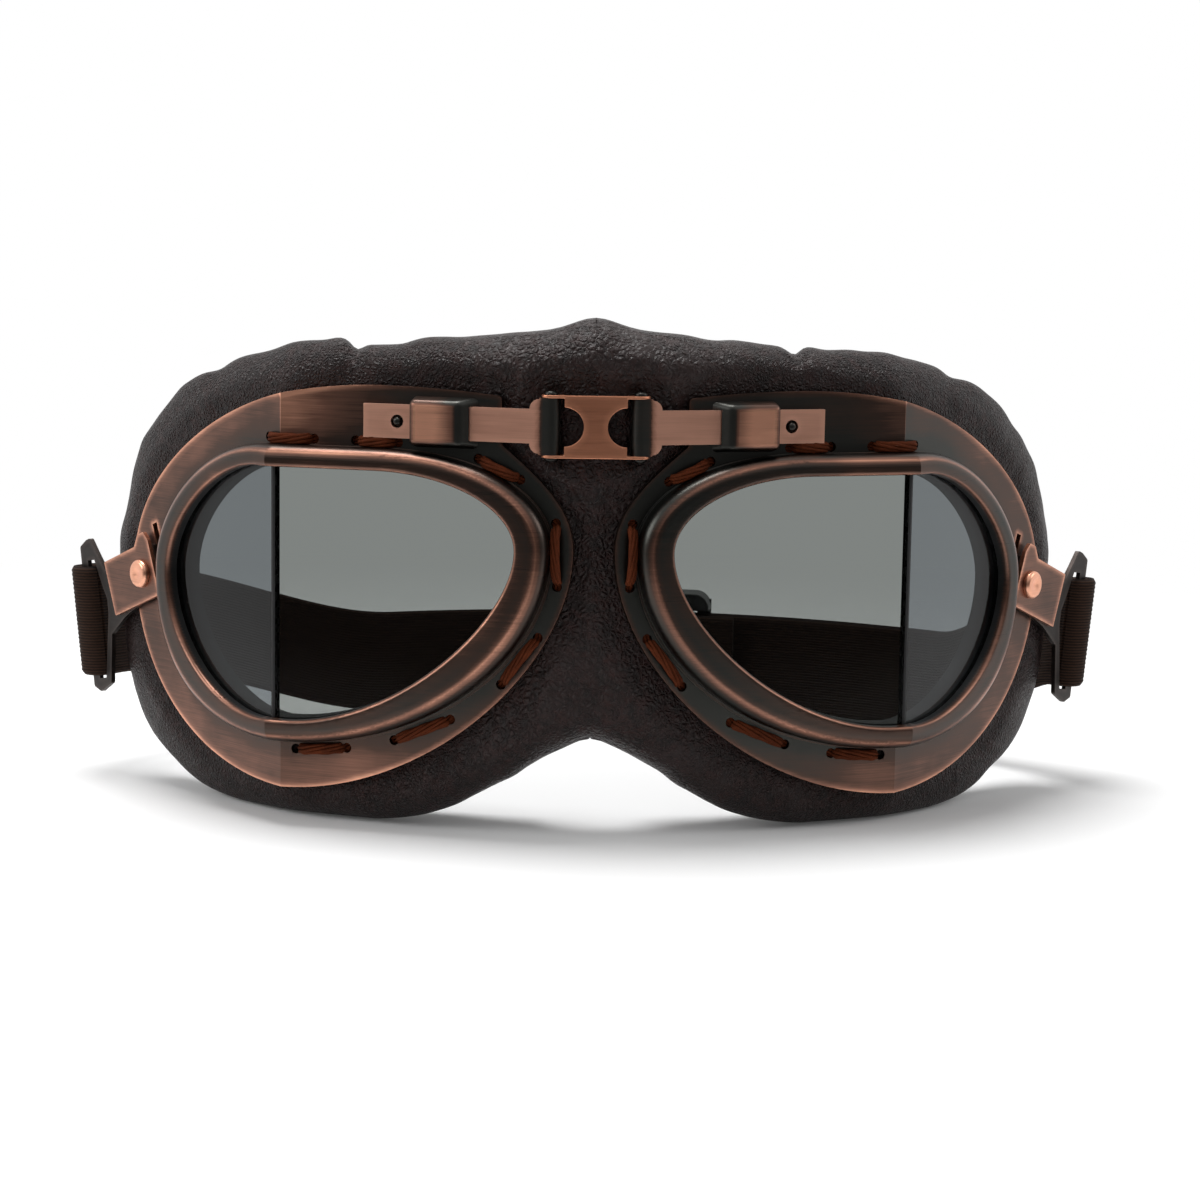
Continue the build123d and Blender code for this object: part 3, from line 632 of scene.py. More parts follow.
def hide_material():
    # Nearly black hide, darker in the valleys of its grain and paler on its pebbles, reddish in some
    # creases, crinkled over the nose
    material, tree, shader = new_material("pebbled_hide")
    place = place_in(tree)
    side_grain = use_group(tree, hide_grain, Vector=place, Cells=hide_cells, Creases=hide_creases)
    nose_grain = use_group(tree, hide_grain, Vector=place, Cells=nose_cells, Creases=nose_creases)
    across = maths(tree, "ABSOLUTE", add_node(tree, "SeparateXYZ", i0=place).outputs[0])
    beside = ramped(tree, across, nose_from, nose_to)
    height, valley = (between_two(tree, beside, nose_grain.outputs[name], side_grain.outputs[name])
                      for name in ("Height", "Valley"))
    nap = ramped(tree, side_grain.outputs["Nap"], 0.30, 0.75, kind="LINEAR")
    crowns = maths(tree, "SUBTRACT", 1.0, maths(tree, "MULTIPLY", valley, 0.85), clamp=True)
    body = mixed(tree, crowns, hide_dark, mixed(tree, nap, hide_brown, hide_pale))
    stained = ramped(tree, speckle(tree, place, 420.0, 4.0), 0.40, 0.68, kind="LINEAR")
    redness = maths(tree, "MULTIPLY", maths(tree, "MULTIPLY", valley, stained), 0.5, clamp=True)
    surface(tree, shader, mixed(tree, redness, body, hide_red), scaled(tree, nap, 0.14, 0.38),
            bump=(height, 1.0, 0.00045), Specular_IOR_Level=0.22)
    return material


hide = hide_material()
for side in (1, -1):
    mask_half(side).data.materials.append(hide)

# Face cushions: a foam ring behind each half of the mask, covered in soft dark lining,
# full at the skin side and pressed flat against the hide.
pad_inset = 5.0
pad_split = 8.5
pad_window = 4.6
pad_front_radius = 126.7
pad_back_radius = 119.6
pad_roll = 6.0
pad_around = 220
pad_across = 20
pad_line_steps = 400
split_steps = 40
pad_skin = 0.25
pad_pressed = 1.0


def pad_edge():
    # The outline of one cushion, cut upright beside the nose
    line = mask_line(pad_line_steps)
    kept = []
    for number, point in enumerate(line):
        along = (line[min(number + 1, len(line) - 1)] - line[max(number - 1, 0)]).normalized()
        inset = point + Vector((along.y, -along.x)) * pad_inset
        if inset.x > pad_split:
            kept.append(inset)
    first = Vector((pad_split, kept[0].y))
    last = Vector((pad_split, kept[-1].y))
    nose = [last.lerp(first, i / split_steps) for i in range(1, split_steps)]
    return evenly([first] + kept + [last] + nose + [first], pad_around)


def cushion(side):
    outer = pad_edge()
    inner_flat = window_line(mask_nose_window, pad_window)
    edge_tree = tree_of([Vector((p.x, 0, p.y)) for p in outer + inner_flat])
    points = []
    for edge in outer[:-1]:
        inner = inner_ray(inner_flat, eye_middle, (edge - eye_middle).normalized())
        near, far = [], []
        for step in range(pad_across + 1):
            share = softly(step / pad_across) * 0.5 + 0.5 * step / pad_across
            flat = inner.lerp(edge, share)
            x, z = flat.x, flat.y
            away = 0.0 if step in (0, pad_across) else edge_tree.find(Vector((x, 0, z)))[2]
            swell = rolled(away, pad_roll)
            ripple = noise.noise(Vector((x * 0.09, side, z * 0.09))) * 0.5 * swell
            front = back_depth(x, pad_front_radius) + pad_skin
            back = back_depth(x, pad_back_radius)
            pressed = front + pad_pressed
            near.append(Vector((x * side, front, z)) * mm)
            far.append(Vector((x * side, pressed + (back - pressed + ripple) * swell, z)) * mm)
        points += near + far[::-1]
    faces = ring_faces(len(outer) - 1, 2 * (pad_across + 1))
    piece = mesh_object("face_cushion_" + side_name(side), points, faces)
    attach(piece, side_name(side) + "_eye")
    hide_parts("face_pad_" + side_name(side))
    return piece


def lining_material():
    material, tree, shader = new_material("brushed_lining")
    place = place_in(tree)
    nap = speckle(tree, place, 900.0, 5.0)
    share = maths(tree, "MULTIPLY", nap, speckle(tree, place, 60.0, 3.0))
    share = maths(tree, "MULTIPLY", share, 2.2, clamp=True)
    surface(tree, shader, mixed(tree, share, (0.007, 0.006, 0.006, 1), (0.026, 0.020, 0.018, 1)), 0.95,
            bump=(nap, 0.6, 0.0004), Sheen_Weight=0.08)
    return material


lining = lining_material()
for side in (1, -1):
    cushion(side).data.materials.append(lining)

# Frame plates: thin pressed sheet round each eye, folded back at the temple and pierced for the
# lace. They are copper plated, darkened, and brushed level. The copper shows brightest along the
# edges, partly as wear and partly as a painted highlight, and stays nearly black beside the rims and
# towards the nose; the tone round each eye is partly patina and partly painted reflection, lighter
# on the left plate than on the right.
bevel_width = 0.16
dense_step = 1.3
sliver = 0.002
sliver_sides = 8
# How far, and in what steps, the edges' wear and painted highlight reach
wear_and_highlight_reach = 1.3
wear_and_highlight_step = 0.4
spare_reach = 2.0
most_divisions = 6
flat_angle = 0.4
sharp_angle = 32.0
shade_angle = 20.0
rim_nose, rim_top, rim_temple, rim_bottom = 6.6, 4.4, 6.0, 4.8
fine_count = 240


def joined_copy(node, name):
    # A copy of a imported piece, its loose triangles joined and laid afresh on its flats
    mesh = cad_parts[node].data.copy()
    mesh.materials.clear()
    piece = new_object(name, mesh)
    work_on(piece)
    bpy.ops.mesh.customdata_custom_splitnormals_clear()
    work_on(piece, editing=True)
    bpy.ops.mesh.remove_doubles(threshold=merge_within * mm)
    bpy.ops.mesh.dissolve_limited(angle_limit=math.radians(flat_angle))
    bpy.ops.mesh.quads_convert_to_tris()
    bpy.ops.object.mode_set(mode="OBJECT")
    return piece


def finished(piece, bevel=bevel_width, step=dense_step, reach=wear_and_highlight_reach, spared=()):
    # Break the sharp edges, divide the flats, and store how near each point is to a sharp outer edge,
    # which the plating brightens partly as wear and partly as a painted highlight
    work_on(piece, editing=True)
    bpy.ops.mesh.select_mode(type="EDGE")
    bpy.ops.mesh.select_all(action="DESELECT")
    bpy.ops.mesh.edges_select_sharp(sharpness=math.radians(sharp_angle))
    shape = bmesh.from_edit_mesh(piece.data)
    worn_and_highlit = []
    for edge in shape.edges:
        if edge.select and edge.is_convex:
            a, b = edge.verts[0].co, edge.verts[1].co
            if any((a - spot).length < spare_reach * mm for spot in spared):
                continue
            parts = max(1, math.ceil((b - a).length / (wear_and_highlight_step * mm)))
            worn_and_highlit += [a.lerp(b, i / parts) for i in range(parts + 1)]
    if bevel > 0:
        bpy.ops.mesh.bevel(offset=bevel * mm, segments=2, affect="EDGES", clamp_overlap=True)
    bpy.ops.mesh.select_all(action="SELECT")
    bpy.ops.mesh.quads_convert_to_tris()
    for _ in range(most_divisions):
        shape = bmesh.from_edit_mesh(piece.data)
        bpy.ops.mesh.select_all(action="DESELECT")
        long = [e for e in shape.edges if e.calc_length() > step * mm]
        if not long:
            break
        for edge in long:
            edge.select = True
        bmesh.update_edit_mesh(piece.data)
        bpy.ops.mesh.subdivide(number_cuts=1)
        bpy.ops.mesh.select_all(action="SELECT")
        bpy.ops.mesh.quads_convert_to_tris()
    bpy.ops.mesh.select_all(action="SELECT")
    bpy.ops.mesh.dissolve_degenerate(threshold=sliver * mm)
    bpy.ops.mesh.select_all(action="SELECT")
    bpy.ops.mesh.fill_holes(sides=sliver_sides)
    bpy.ops.mesh.select_all(action="SELECT")
    bpy.ops.mesh.quads_convert_to_tris()
    bpy.ops.mesh.normals_make_consistent(inside=False)
    bpy.ops.object.mode_set(mode="OBJECT")
    bpy.ops.object.shade_smooth_by_angle(angle=math.radians(shade_angle))
    if worn_and_highlit:
        near = tree_of(worn_and_highlit)
        values = [1 - softly(near.find(v.co)[2] / (reach * mm)) for v in piece.data.vertices]
        keep(piece, "wear_and_highlight", values)
    return piece


def keep(piece, name, values):
    # Store a number for each point of a piece
    marks = piece.data.attributes.get(name) or piece.data.attributes.new(name, "FLOAT", "POINT")
    marks.data.foreach_set("value", values)


def mirrored(piece, name):
    # The left-hand twin, with its own mesh turned the right way out
    twin = piece.copy()
    twin.data = piece.data.copy()
    twin.name = name
    bpy.context.collection.objects.link(twin)
    twin.data.transform(Matrix.Scale(-1, 4, (1, 0, 0)))
    twin.data.flip_normals()
    return twin


def drawn_out(tree, place, scale):
    return add_node(tree, "Mapping", Vector=place, Scale=scale).outputs[0]


def brushed_group():
    # Fine level strokes left by the brushing belt, and cloudy patches of patina
    made, start, end = group("brushed", [("Vector", "Vector")], [("Strokes", "Float"), ("Cloud", "Float")])
    place = start.outputs["Vector"]
    strokes = speckle(made, drawn_out(made, place, (110, 110, 7500)), 1.0, 3.0)
    broad = speckle(made, drawn_out(made, place, (60, 60, 1500)), 1.0, 2.0)
    made.links.new(scaled(made, strokes, 0.65, scaled(made, broad, 0.35)), end.inputs["Strokes"])
    made.links.new(speckle(made, place, 70.0, 3.0), end.inputs["Cloud"])
    return made


def stored(tree, name):
    # A number kept for each point of the piece
    return add_node(tree, "Attribute", {"attribute_name": name}).outputs["Fac"]


brushed = brushed_group()
ramp_stops = (0.06, 0.34, 0.62, 0.96)
liner_black = (0.006, 0.006, 0.006, 1)
copper_bright = (0.84, 0.42, 0.28, 1)
copper_dull = (0.27, 0.135, 0.096, 1)
copper_brown = (0.088, 0.055, 0.044, 1)
patina_dark = (0.048, 0.048, 0.044, 1)


def plated(name, bare, worn_and_highlit, rough=0.34, streaks=0.36, clouds=0.4, tone=None, liner=None,
           colours=(patina_dark, copper_brown, copper_dull, copper_bright)):
    # Plating that shows bare as its share of copper on the flats, and the next number as what an edge
    # adds to it, partly wear and partly a painted highlight; tone names a stored share added to both,
    # which carries painted light on some pieces, and liner a stored share of black rubber
    material, tree, shader = new_material(name)
    place = place_in(tree)
    lines = use_group(tree, brushed, Vector=place)
    flat = maths(tree, "ADD", stored(tree, tone), bare) if tone else bare
    # Sharp edges brighten the copper, partly as wear and partly as a painted highlight
    edge_brightening = scaled(tree, flat, 0.8, 0.62)
    edge_brightened = scaled(tree, maths(tree, "MULTIPLY", stored(tree, "wear_and_highlight"), worn_and_highlit), edge_brightening, flat)
    streak = scaled(tree, lines.outputs["Strokes"], streaks, -streaks / 2)
    cloud = scaled(tree, lines.outputs["Cloud"], clouds, -clouds / 2)
    share = maths(tree, "ADD", edge_brightened, maths(tree, "ADD", streak, cloud), clamp=True)
    ramp = add_node(tree, "ValToRGB", i0=share)
    stops = ramp.color_ramp.elements
    stops[0].position, stops[1].position = ramp_stops[0], ramp_stops[-1]
    for stop in ramp_stops[1:-1]:
        stops.new(stop)
    for stop, shade in zip(stops, colours):
        stop.color = shade
    colour, metallic = ramp.outputs[0], 1.0
    uneven = scaled(tree, lines.outputs["Strokes"], 0.22, rough - 0.1)
    if liner:
        lined = stored(tree, liner)
        colour = mixed(tree, lined, colour, liner_black)
        metallic = maths(tree, "SUBTRACT", 1.0, lined)
        uneven = maths(tree, "MAXIMUM", uneven, maths(tree, "MULTIPLY", lined, 0.5))
    surface(tree, shader, colour, uneven, bump=(lines.outputs["Strokes"], 0.3, 0.00005), Metallic=metallic)
    return material


def in_pair(piece, node, material, body="eye", tint=None):
    # Dress a right-hand piece, give it its left-hand twin, tint both if asked, and attach them in
    # place of the imported pair
    piece.data.materials.append(material)
    twin = mirrored(piece, node + "_shown_left")
    for each, side in ((piece, "right"), (twin, "left")):
        if tint:
            tint(each, side)
        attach(each, side + "_" + body if body in ("eye", "hook") else body)
        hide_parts(node + "_" + side)
    return piece, twin


def dress(node, material, slot, body="eye", tint=None, **shape):
    # Both pieces of a mirrored pair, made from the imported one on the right
    piece = finished(joined_copy(node + "_right", node + "_shown_right"), **shape)
    return in_pair(piece, node, material, body, tint)


def line_tree(*margins):
    return tree_of([(u, v, 0) for u, v in eye_line(*margins, count=fine_count)])


rim_tree = line_tree(rim_nose, rim_top, rim_temple, rim_bottom)
opening_tree = line_tree(0, 0, 0, 0)
# Copper share of each plate by the way round its eye: partly patina, partly painted reflection
plate_tones_and_reflections = {
    "left": ((-180, 0.10), (-135, 0.24), (-90, 0.40), (-45, 0.36), (0, 0.36), (45, 0.38), (66, 0.30),
             (92, 0.22), (112, 0.06), (140, 0.0), (180, 0.10)),
    "right": ((-180, 0.04), (-135, 0.02), (-105, 0.14), (-80, 0.34), (-45, 0.28), (0, 0.26), (40, 0.30),
              (60, 0.16), (90, 0.02), (140, -0.02), (180, 0.04)),
}
rim_shade_reach = 6.0
rim_shade = 0.24
plate_copper = 0.06
# A painted highlight on the front leaf beside the fold, above the eye's middle, stronger on the left
fold_highlight_reach = 26.0
fold_edge = 0.05
fold_highlight = {"left": 0.40, "right": 0.30}


def between(bands, share):
    # A value read off a table of rising places and their values
    for (a, low), (b, high) in zip(bands, bands[1:]):
        if share <= b:
            return low + (high - low) * softly((share - a) / (b - a))
    return bands[-1][1]


def bearing(place):
    # The way from the middle of the eye to a place, in degrees up from straight outward
    return math.degrees(math.atan2(place.z / mm - eye_middle.y, abs(place.x) / mm - eye_middle.x))


def tint_plate(piece, side):
    # Dark beside the rim, and copper or nearly black by the way round the eye, partly patina and partly
    # painted reflection; and a painted highlight on the front leaf over the top of the fold
    values = []
    for v in piece.data.vertices:
        flat = off_leaf(v.co)[0]
        rim = 1 - softly(rim_tree.find(flat)[2] / rim_shade_reach)
        folded = flat.x < fold_edge and flat.y > eye_middle.y
        highlight = fold_highlight[side] * (1 - softly(-flat.x / fold_highlight_reach)) if folded else 0.0
        values.append(between(plate_tones_and_reflections[side], bearing(v.co)) + plate_copper - rim_shade * rim + highlight)
    keep(piece, "tone", values)


lace_hole_shares = (0.991, 0.033, 0.067, 0.101, 0.166, 0.202, 0.245, 0.293, 0.335, 0.382, 0.432, 0.481,
                    0.521, 0.563)
lace_out = 1.9
lace_top_out = 1.25
lace_temple_out = 0.6


def at_share(line, share):
    # The point at a share of a closed line's length
    closed = [Vector(p) for p in line] + [Vector(line[0])]
    total = sum((b - a).length for a, b in zip(closed, closed[1:]))
    goal = total * share
    for a, b in zip(closed, closed[1:]):
        span = (b - a).length
        if goal <= span:
            return a.lerp(b, goal / span)
        goal -= span
    return closed[-1]


hole_line = eye_line(rim_nose + lace_out, rim_top + lace_top_out, rim_temple + lace_temple_out,
                     rim_bottom + lace_out)
lace_holes = [at_share(hole_line, share) for share in lace_hole_shares]
plate_metal = plated("plate_copper", 0.0, 0.50, tone="tone")
dress("frame_plate", plate_metal, "copper", tint=tint_plate,
      spared=[on_leaf(hole.x, hole.y, level) for hole in lace_holes for level in (0, -plate_thick)])

# Bezels: drawn metal rims, crowned outside, that clamp the glass. Across each rim the bright inner
# lip and the copper crown carry painted highlights, with a dark hollow between them that is partly
# patina and partly painted shade; painted reflection varies round each eye, and black rubber lines
# the inner wall.
rim_height = 5.2
lip_high = 0.75
lip_fade = 0.4
liner_share = 0.03
liner_fade = 0.06
# Copper share across the rim from the inner lip outward: painted highlights on lip and crown, painted shade
# and patina between
rim_bands_and_highlights = ((0.0, 0.46), (0.05, 0.60), (0.12, 0.30), (0.26, 0.22), (0.46, 0.15), (0.60, 0.26),
             (0.72, 0.66), (0.80, 0.44), (0.90, 0.13), (1.0, 0.06))
# Copper share by the way round each eye: partly patina, partly painted reflection
rim_tones_and_reflections = {
    "left": ((-180, 0.10), (-135, 0.0), (-90, 0.06), (-45, 0.02), (0, -0.04), (45, 0.04), (90, 0.16),
             (135, 0.10), (180, 0.10)),
    "right": ((-180, -0.02), (-135, -0.02), (-90, 0.08), (-45, 0.04), (0, -0.10), (45, 0.0), (80, 0.14),
              (115, 0.0), (150, -0.12), (180, -0.02)),
}


def tint_rim(piece, side):
    # Copper by the band across the rim, with painted highlights on the lip and crown and painted shade
    # between, and by the way round the eye, partly painted reflection; and rubber on the inner wall
    tones, liners = [], []
    for v in piece.data.vertices:
        flat, height = off_leaf(v.co)
        inside = opening_tree.find(flat)[2]
        outside = rim_tree.find(flat)[2]
        share = inside / max(inside + outside, 0.001)
        tones.append(between(rim_bands_and_highlights, share) + between(rim_tones_and_reflections[side], bearing(v.co)))
        below_lip = softly((rim_height - lip_high - height) / lip_fade)
        liners.append(below_lip * (1 - softly((share - liner_share) / liner_fade)))
    keep(piece, "tone", tones)
    keep(piece, "liner", liners)


bezel_metal = plated("bezel_copper", 0.0, 0.10, tone="tone", liner="liner", rough=0.30)
dress("bezel", bezel_metal, "copper", tint=tint_rim, step=0.9)

# Bridge: arms rolled round the hinge pins, held down on the plates by raised clips, and a
# waisted link between the two pins. The rolled ends stay dark, partly patina and partly painted
# shade, and the clips carry painted shade on their rounded edges and their nose side.
arm_dark_from = 10.4
arm_dark_to = 12.2
clip_long = 14.0
clip_tall = 10.3
clip_high = 3.6
clip_top_long = 10.6
clip_top_tall = 8.9
clip_top_shift = 1.3
clip_middle = -36.0
clip_round = 1.0
clip_round_steps = 5
# Painted shade on the clips' rounded edges and on their nose side
clip_edge_shade = 0.62
clip_nose_shade = 0.42
clip_clear = 0.1
tunnel_high = 1.7
arm_height = 6.9
bridge_level = 84.6


def tint_across(dark_from, dark_to, deep):
    # Dark from one distance from the nose, clear copper at the other
    def tint(piece, side):
        values = [deep * (1 - softly((abs(v.co.x) / mm - dark_from) / (dark_to - dark_from)))
                  for v in piece.data.vertices]
        keep(piece, "tone", values)
    return tint


arm_colours = (patina_dark, copper_brown, (0.50, 0.245, 0.172, 1), (0.80, 0.430, 0.310, 1))
link_colours = (patina_dark, copper_brown, (0.48, 0.195, 0.112, 1), (0.74, 0.320, 0.190, 1))
steel_colours = (patina_dark, (0.038, 0.033, 0.031, 1), (0.066, 0.054, 0.049, 1), (0.15, 0.115, 0.10, 1))
arm_metal = plated("arm_copper", 0.88, 0.10, rough=0.42, clouds=0.3, tone="tone", colours=arm_colours)
link_metal = plated("link_copper", 0.80, 0.20, rough=0.40, clouds=0.3, colours=link_colours)
clip_metal = plated("clip_copper", 0.98, 0.0, tone="tone", rough=0.38)
black_metal = plated("blackened", 0.0, 0.30, colours=steel_colours)
# The arms' ends rolled round the pins are darkened, partly patina and partly painted shade
dress("bridge_arm", arm_metal, "copper", tint=tint_across(arm_dark_from, arm_dark_to, -0.85))


def pick_upper(piece, kind):
    # Select the parts of one kind that reach the upper side of an open mesh, a face only if level
    bpy.ops.mesh.select_mode(type=kind)
    bpy.ops.mesh.select_all(action="DESELECT")
    shape = bmesh.from_edit_mesh(piece.data)
    for face in shape.faces if kind == "FACE" else ():
        face.select = face.normal.z > 0.5
    for edge in shape.edges if kind == "EDGE" else ():
        edge.select = max(v.co.z for v in edge.verts) > 0
    bmesh.update_edit_mesh(piece.data)


def raised_clip():
    # A pressed clip on the right-hand plate: steep on three sides, sloped towards the nose
    bpy.ops.object.select_all(action="DESELECT")
    bpy.ops.mesh.primitive_cube_add(size=mm, location=(0, 0, 0))
    clip = bpy.context.object
    clip.name = "arm_clip_shown_right"
    work_on(clip, editing=True)
    bpy.ops.transform.resize(value=(clip_long, clip_tall, clip_high), center_override=(0, 0, 0))
    pick_upper(clip, "FACE")
    bpy.ops.transform.resize(value=(clip_top_long / clip_long, clip_top_tall / clip_tall, 1),
                             center_override=(0, 0, 0))
    bpy.ops.transform.translate(value=(clip_top_shift * mm, 0, 0))
    pick_upper(clip, "EDGE")
    bpy.ops.mesh.bevel(offset=clip_round * mm, segments=clip_round_steps, affect="EDGES")
    bpy.ops.object.mode_set(mode="OBJECT")
    bpy.ops.object.select_all(action="DESELECT")
    bpy.ops.mesh.primitive_cube_add(size=mm, location=(0, 0, -clip_high / 2 * mm))
    tunnel = bpy.context.object
    bpy.ops.transform.resize(value=(3 * clip_long, arm_height + 2 * clip_clear, 2 * tunnel_high))
    bpy.ops.object.transform_apply(location=True, rotation=True, scale=True)
    work_on(clip)
    cut = clip.modifiers.new("tunnel", "BOOLEAN")
    cut.operation = "DIFFERENCE"
    cut.solver = "EXACT"
    cut.object = tunnel
    bpy.ops.object.modifier_apply(modifier="tunnel")
    bpy.data.objects.remove(tunnel)
    leaf = Matrix((front_dir, (0, 0, 1), front_out)).transposed().to_4x4()
    clip.data.transform(Matrix.Translation(on_leaf(clip_middle, bridge_level, clip_high / 2)) @ leaf)
    return clip


def tint_clip(piece, side):
    # Bright on the outer half of the flat top, with painted shade over its rounded edges and towards
    # the nose
    values = []
    for v in piece.data.vertices:
        flat, height = off_leaf(v.co)
        along = flat.x - clip_middle - clip_top_shift
        brink = max(abs(along) / clip_top_long, abs(flat.y - bridge_level) / clip_top_tall) * 2
        nose_side = softly((0.5 - along) / 6.0)
        values.append(-clip_edge_shade * softly((brink - 0.74) / 0.2) - clip_nose_shade * nose_side)
    keep(piece, "tone", values)


in_pair(finished(raised_clip(), bevel=0, step=0.8), "arm_clip", clip_metal, tint=tint_clip)
dress("arm_stud", black_metal, "gunmetal", bevel=0.05)
dress("hinge_pin", black_metal, "gunmetal", body="bridge", bevel=0.05)
link = finished(joined_copy("bridge_link", "bridge_link_shown"))
link.data.materials.append(link_metal)
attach(link, "bridge")
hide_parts("bridge_link")

# Strap fixings: a bracket and an open hook plate turning on a domed copper rivet, whose head the
# riveting tool has dented.
rivet_place = Vector((96.6243, 53.1802 + shift_back, 47.2)) * mm
rivet_dent = 0.35
dent_reach = 1.7
rivet_metal = plated("rivet_copper", 0.92, 0.08, rough=0.3, clouds=0.5)
bracket_metal = plated("bracket_copper", 0.42, 0.42)
hook_metal = plated("hook_steel", 0.30, 0.30, rough=0.42, colours=steel_colours)
for rivet in dress("strap_rivet", rivet_metal, "copper", bevel=0.08, step=0.5):
    for v in rivet.data.vertices:
        turned_out = Vector((math.copysign(side_out.x, v.co.x), side_out.y, 0))
        from_place = v.co - Vector((math.copysign(rivet_place.x, v.co.x), rivet_place.y, rivet_place.z))
        raised = from_place.dot(turned_out)
        beside = (from_place - turned_out * raised).length / mm
        if raised > 0:
            v.co -= turned_out * rivet_dent * mm * (1 - softly(beside / dent_reach))
dress("strap_bracket", bracket_metal, "copper", body="hook")
dress("strap_hook", hook_metal, "gunmetal", body="hook")

# Glass: two smoke-tinted panes on each eye, the outer one a little darker, bedded in a black
# rubber channel and parted by a black cemented joint at the fold.


def smoke(name, tint):
    # Smooth tinted glass, a little uneven, that mirrors the white floor only faintly
    material, tree, shader = new_material(name)
    place = place_in(tree)
    haze = speckle(tree, place, 25.0, 2.0)
    darker = [c * 0.9 for c in tint[:3]] + [1]
    surface(tree, shader, mixed(tree, scaled(tree, haze, 0.25), tint, darker), scaled(tree, haze, 0.01),
            Transmission_Weight=1.0, IOR=1.45, Specular_Tint=(0.12, 0.12, 0.12, 1))
    return material


def speckled(name, scale, detail, dark, light, rough, rougher, **others):
    # Two close tones in fine speckles, rougher where they are lighter
    material, tree, shader = new_material(name)
    grain = speckle(tree, place_in(tree), scale, detail)
    surface(tree, shader, mixed(tree, grain, dark, light), scaled(tree, grain, rougher, rough), **others)
    return material


front_smoke = smoke("front_smoke", (0.215, 0.230, 0.220, 1))
side_smoke = smoke("side_smoke", (0.128, 0.144, 0.150, 1))
rubber = speckled("black_rubber", 700.0, 4.0, (0.004, 0.004, 0.004, 1), (0.016, 0.016, 0.017, 1), 0.4, 0.3,
                  Specular_IOR_Level=0.3)
undivided = 90.0
panes = dress("front_lens", front_smoke, "lens", bevel=0, step=undivided)
panes += dress("side_lens", side_smoke, "lens", bevel=0, step=undivided)
for pane in panes:
    work_on(pane)
    bpy.ops.object.shade_flat()
dress("lens_strip", rubber, "rubber", bevel=0.05)
dress("lens_seat", rubber, "rubber", bevel=0.1)

# Lacing: waxed brown cord of six laid strands, sewn through the plate and the hide, which dives
# into each hole on its near side and leaves the far side of the hole dark.
lace_radius = 0.85
lace_lift = 0.1
front_lift = 0.15
fold_over = 0.2
curve_steps = 14
lace_tail = 5.0
stitch_draw = 1.05
strand_radius = 0.40
bundle_wide = 0.78
bundle_high = 0.36
strand_count = 6
strand_pitch = 26.0
strand_sides = 7


def lace_route():
    # The lace's own knots, in front of and behind the plate at each hole
    front = lace_radius + lace_lift + front_lift
    back = -plate_thick - lace_radius - lace_lift
    first, last = lace_holes[0], lace_holes[-1]
    route = [on_leaf(first.x + lace_tail, first.y - lace_lift, back)]
    for number, hole in enumerate(lace_holes):
        levels = (back, front) if number % 2 == 0 else (front, back)
        other = lace_holes[number + 1 if number % 2 == 0 else number - 1]
        drawn = hole + (other - hole).normalized() * stitch_draw
        route += [on_leaf(drawn.x, drawn.y, level) for level in levels]
        if number == 0:
            route.append(on_leaf(0, hole.y, front + fold_over))
    route.append(on_leaf(last.x - lace_tail / 2, last.y + lace_lift, back))
    return route


def smooth_line(route):
    # The points of a smooth curve that is drawn by these knots
    data = bpy.data.curves.new("route", "CURVE")
    data.dimensions = "3D"
    data.resolution_u = curve_steps
    line = data.splines.new("NURBS")
    line.points.add(len(route) - 1)
    for knot, place in zip(line.points, route):
        knot.co = (*place, 1)
    line.order_u = 3
    line.use_endpoint_u = True
    holder = new_object("route", data)
    mesh = bpy.data.meshes.new_from_object(holder)
    points = [v.co.copy() for v in mesh.vertices]
    bpy.data.objects.remove(holder)
    return points


def tube_faces(rows, width, first=0):
    # The faces of an open run of rows, each of them a closed line of points, closed at both ends
    faces = []
    for low in range(first, first + (rows - 1) * width, width):
        turns = ((b, (b + 1) % width) for b in range(width))
        faces += [(low + b, low + c, low + width + c, low + width + b) for b, c in turns]
    end = first + (rows - 1) * width
    return faces + [tuple(range(first, first + width)), tuple(reversed(range(end, end + width)))]


def lace_piece():
    # Six strands laid round the lace's own line, in a bundle that lies flat on the plate
    centre = smooth_line(lace_route())
    points, faces, frames, run = [], [], [], 0.0
    side = (centre[1] - centre[0]).cross(front_out).normalized()
    for number, point in enumerate(centre):
        along = (centre[min(number + 1, len(centre) - 1)] - centre[max(number - 1, 0)]).normalized()
        side = (side - along * side.dot(along)).normalized()
        run += (point - centre[max(number - 1, 0)]).length / mm
        frames.append((point, side.copy(), along.cross(side), run))
    for strand in range(strand_count):
        first = len(points)
        for point, across, other, run in frames:
            turn = 2 * math.pi * (run / strand_pitch + strand / strand_count)
            thick = strand_radius * (1 + 0.2 * noise.noise(Vector((run * 0.7, strand * 9, 0))))
            aside = across * math.cos(turn) * bundle_wide + other * math.sin(turn) * bundle_high
            middle = point + aside * mm
            for k in range(strand_sides):
                swing = 2 * math.pi * k / strand_sides + turn
                spoke = across * math.cos(swing) + other * math.sin(swing)
                points.append(middle + spoke * thick * mm)
        faces += tube_faces(len(frames), strand_sides, first)
    return mesh_object("lace_shown_right", points, faces)


def lace_material():
    material, tree, shader = new_material("waxed_lace")
    place = place_in(tree)
    fibre = speckle(tree, place, 2600.0, 3.0)
    share = maths(tree, "MULTIPLY", maths(tree, "ADD", fibre, speckle(tree, place, 260.0, 2.0)), 0.55)
    surface(tree, shader, mixed(tree, share, (0.013, 0.0030, 0.0012, 1), (0.130, 0.028, 0.0080, 1)), 0.8,
            bump=(fibre, 0.6, 0.0001), Specular_IOR_Level=0.1)
    return material


in_pair(lace_piece(), "lace", lace_material())

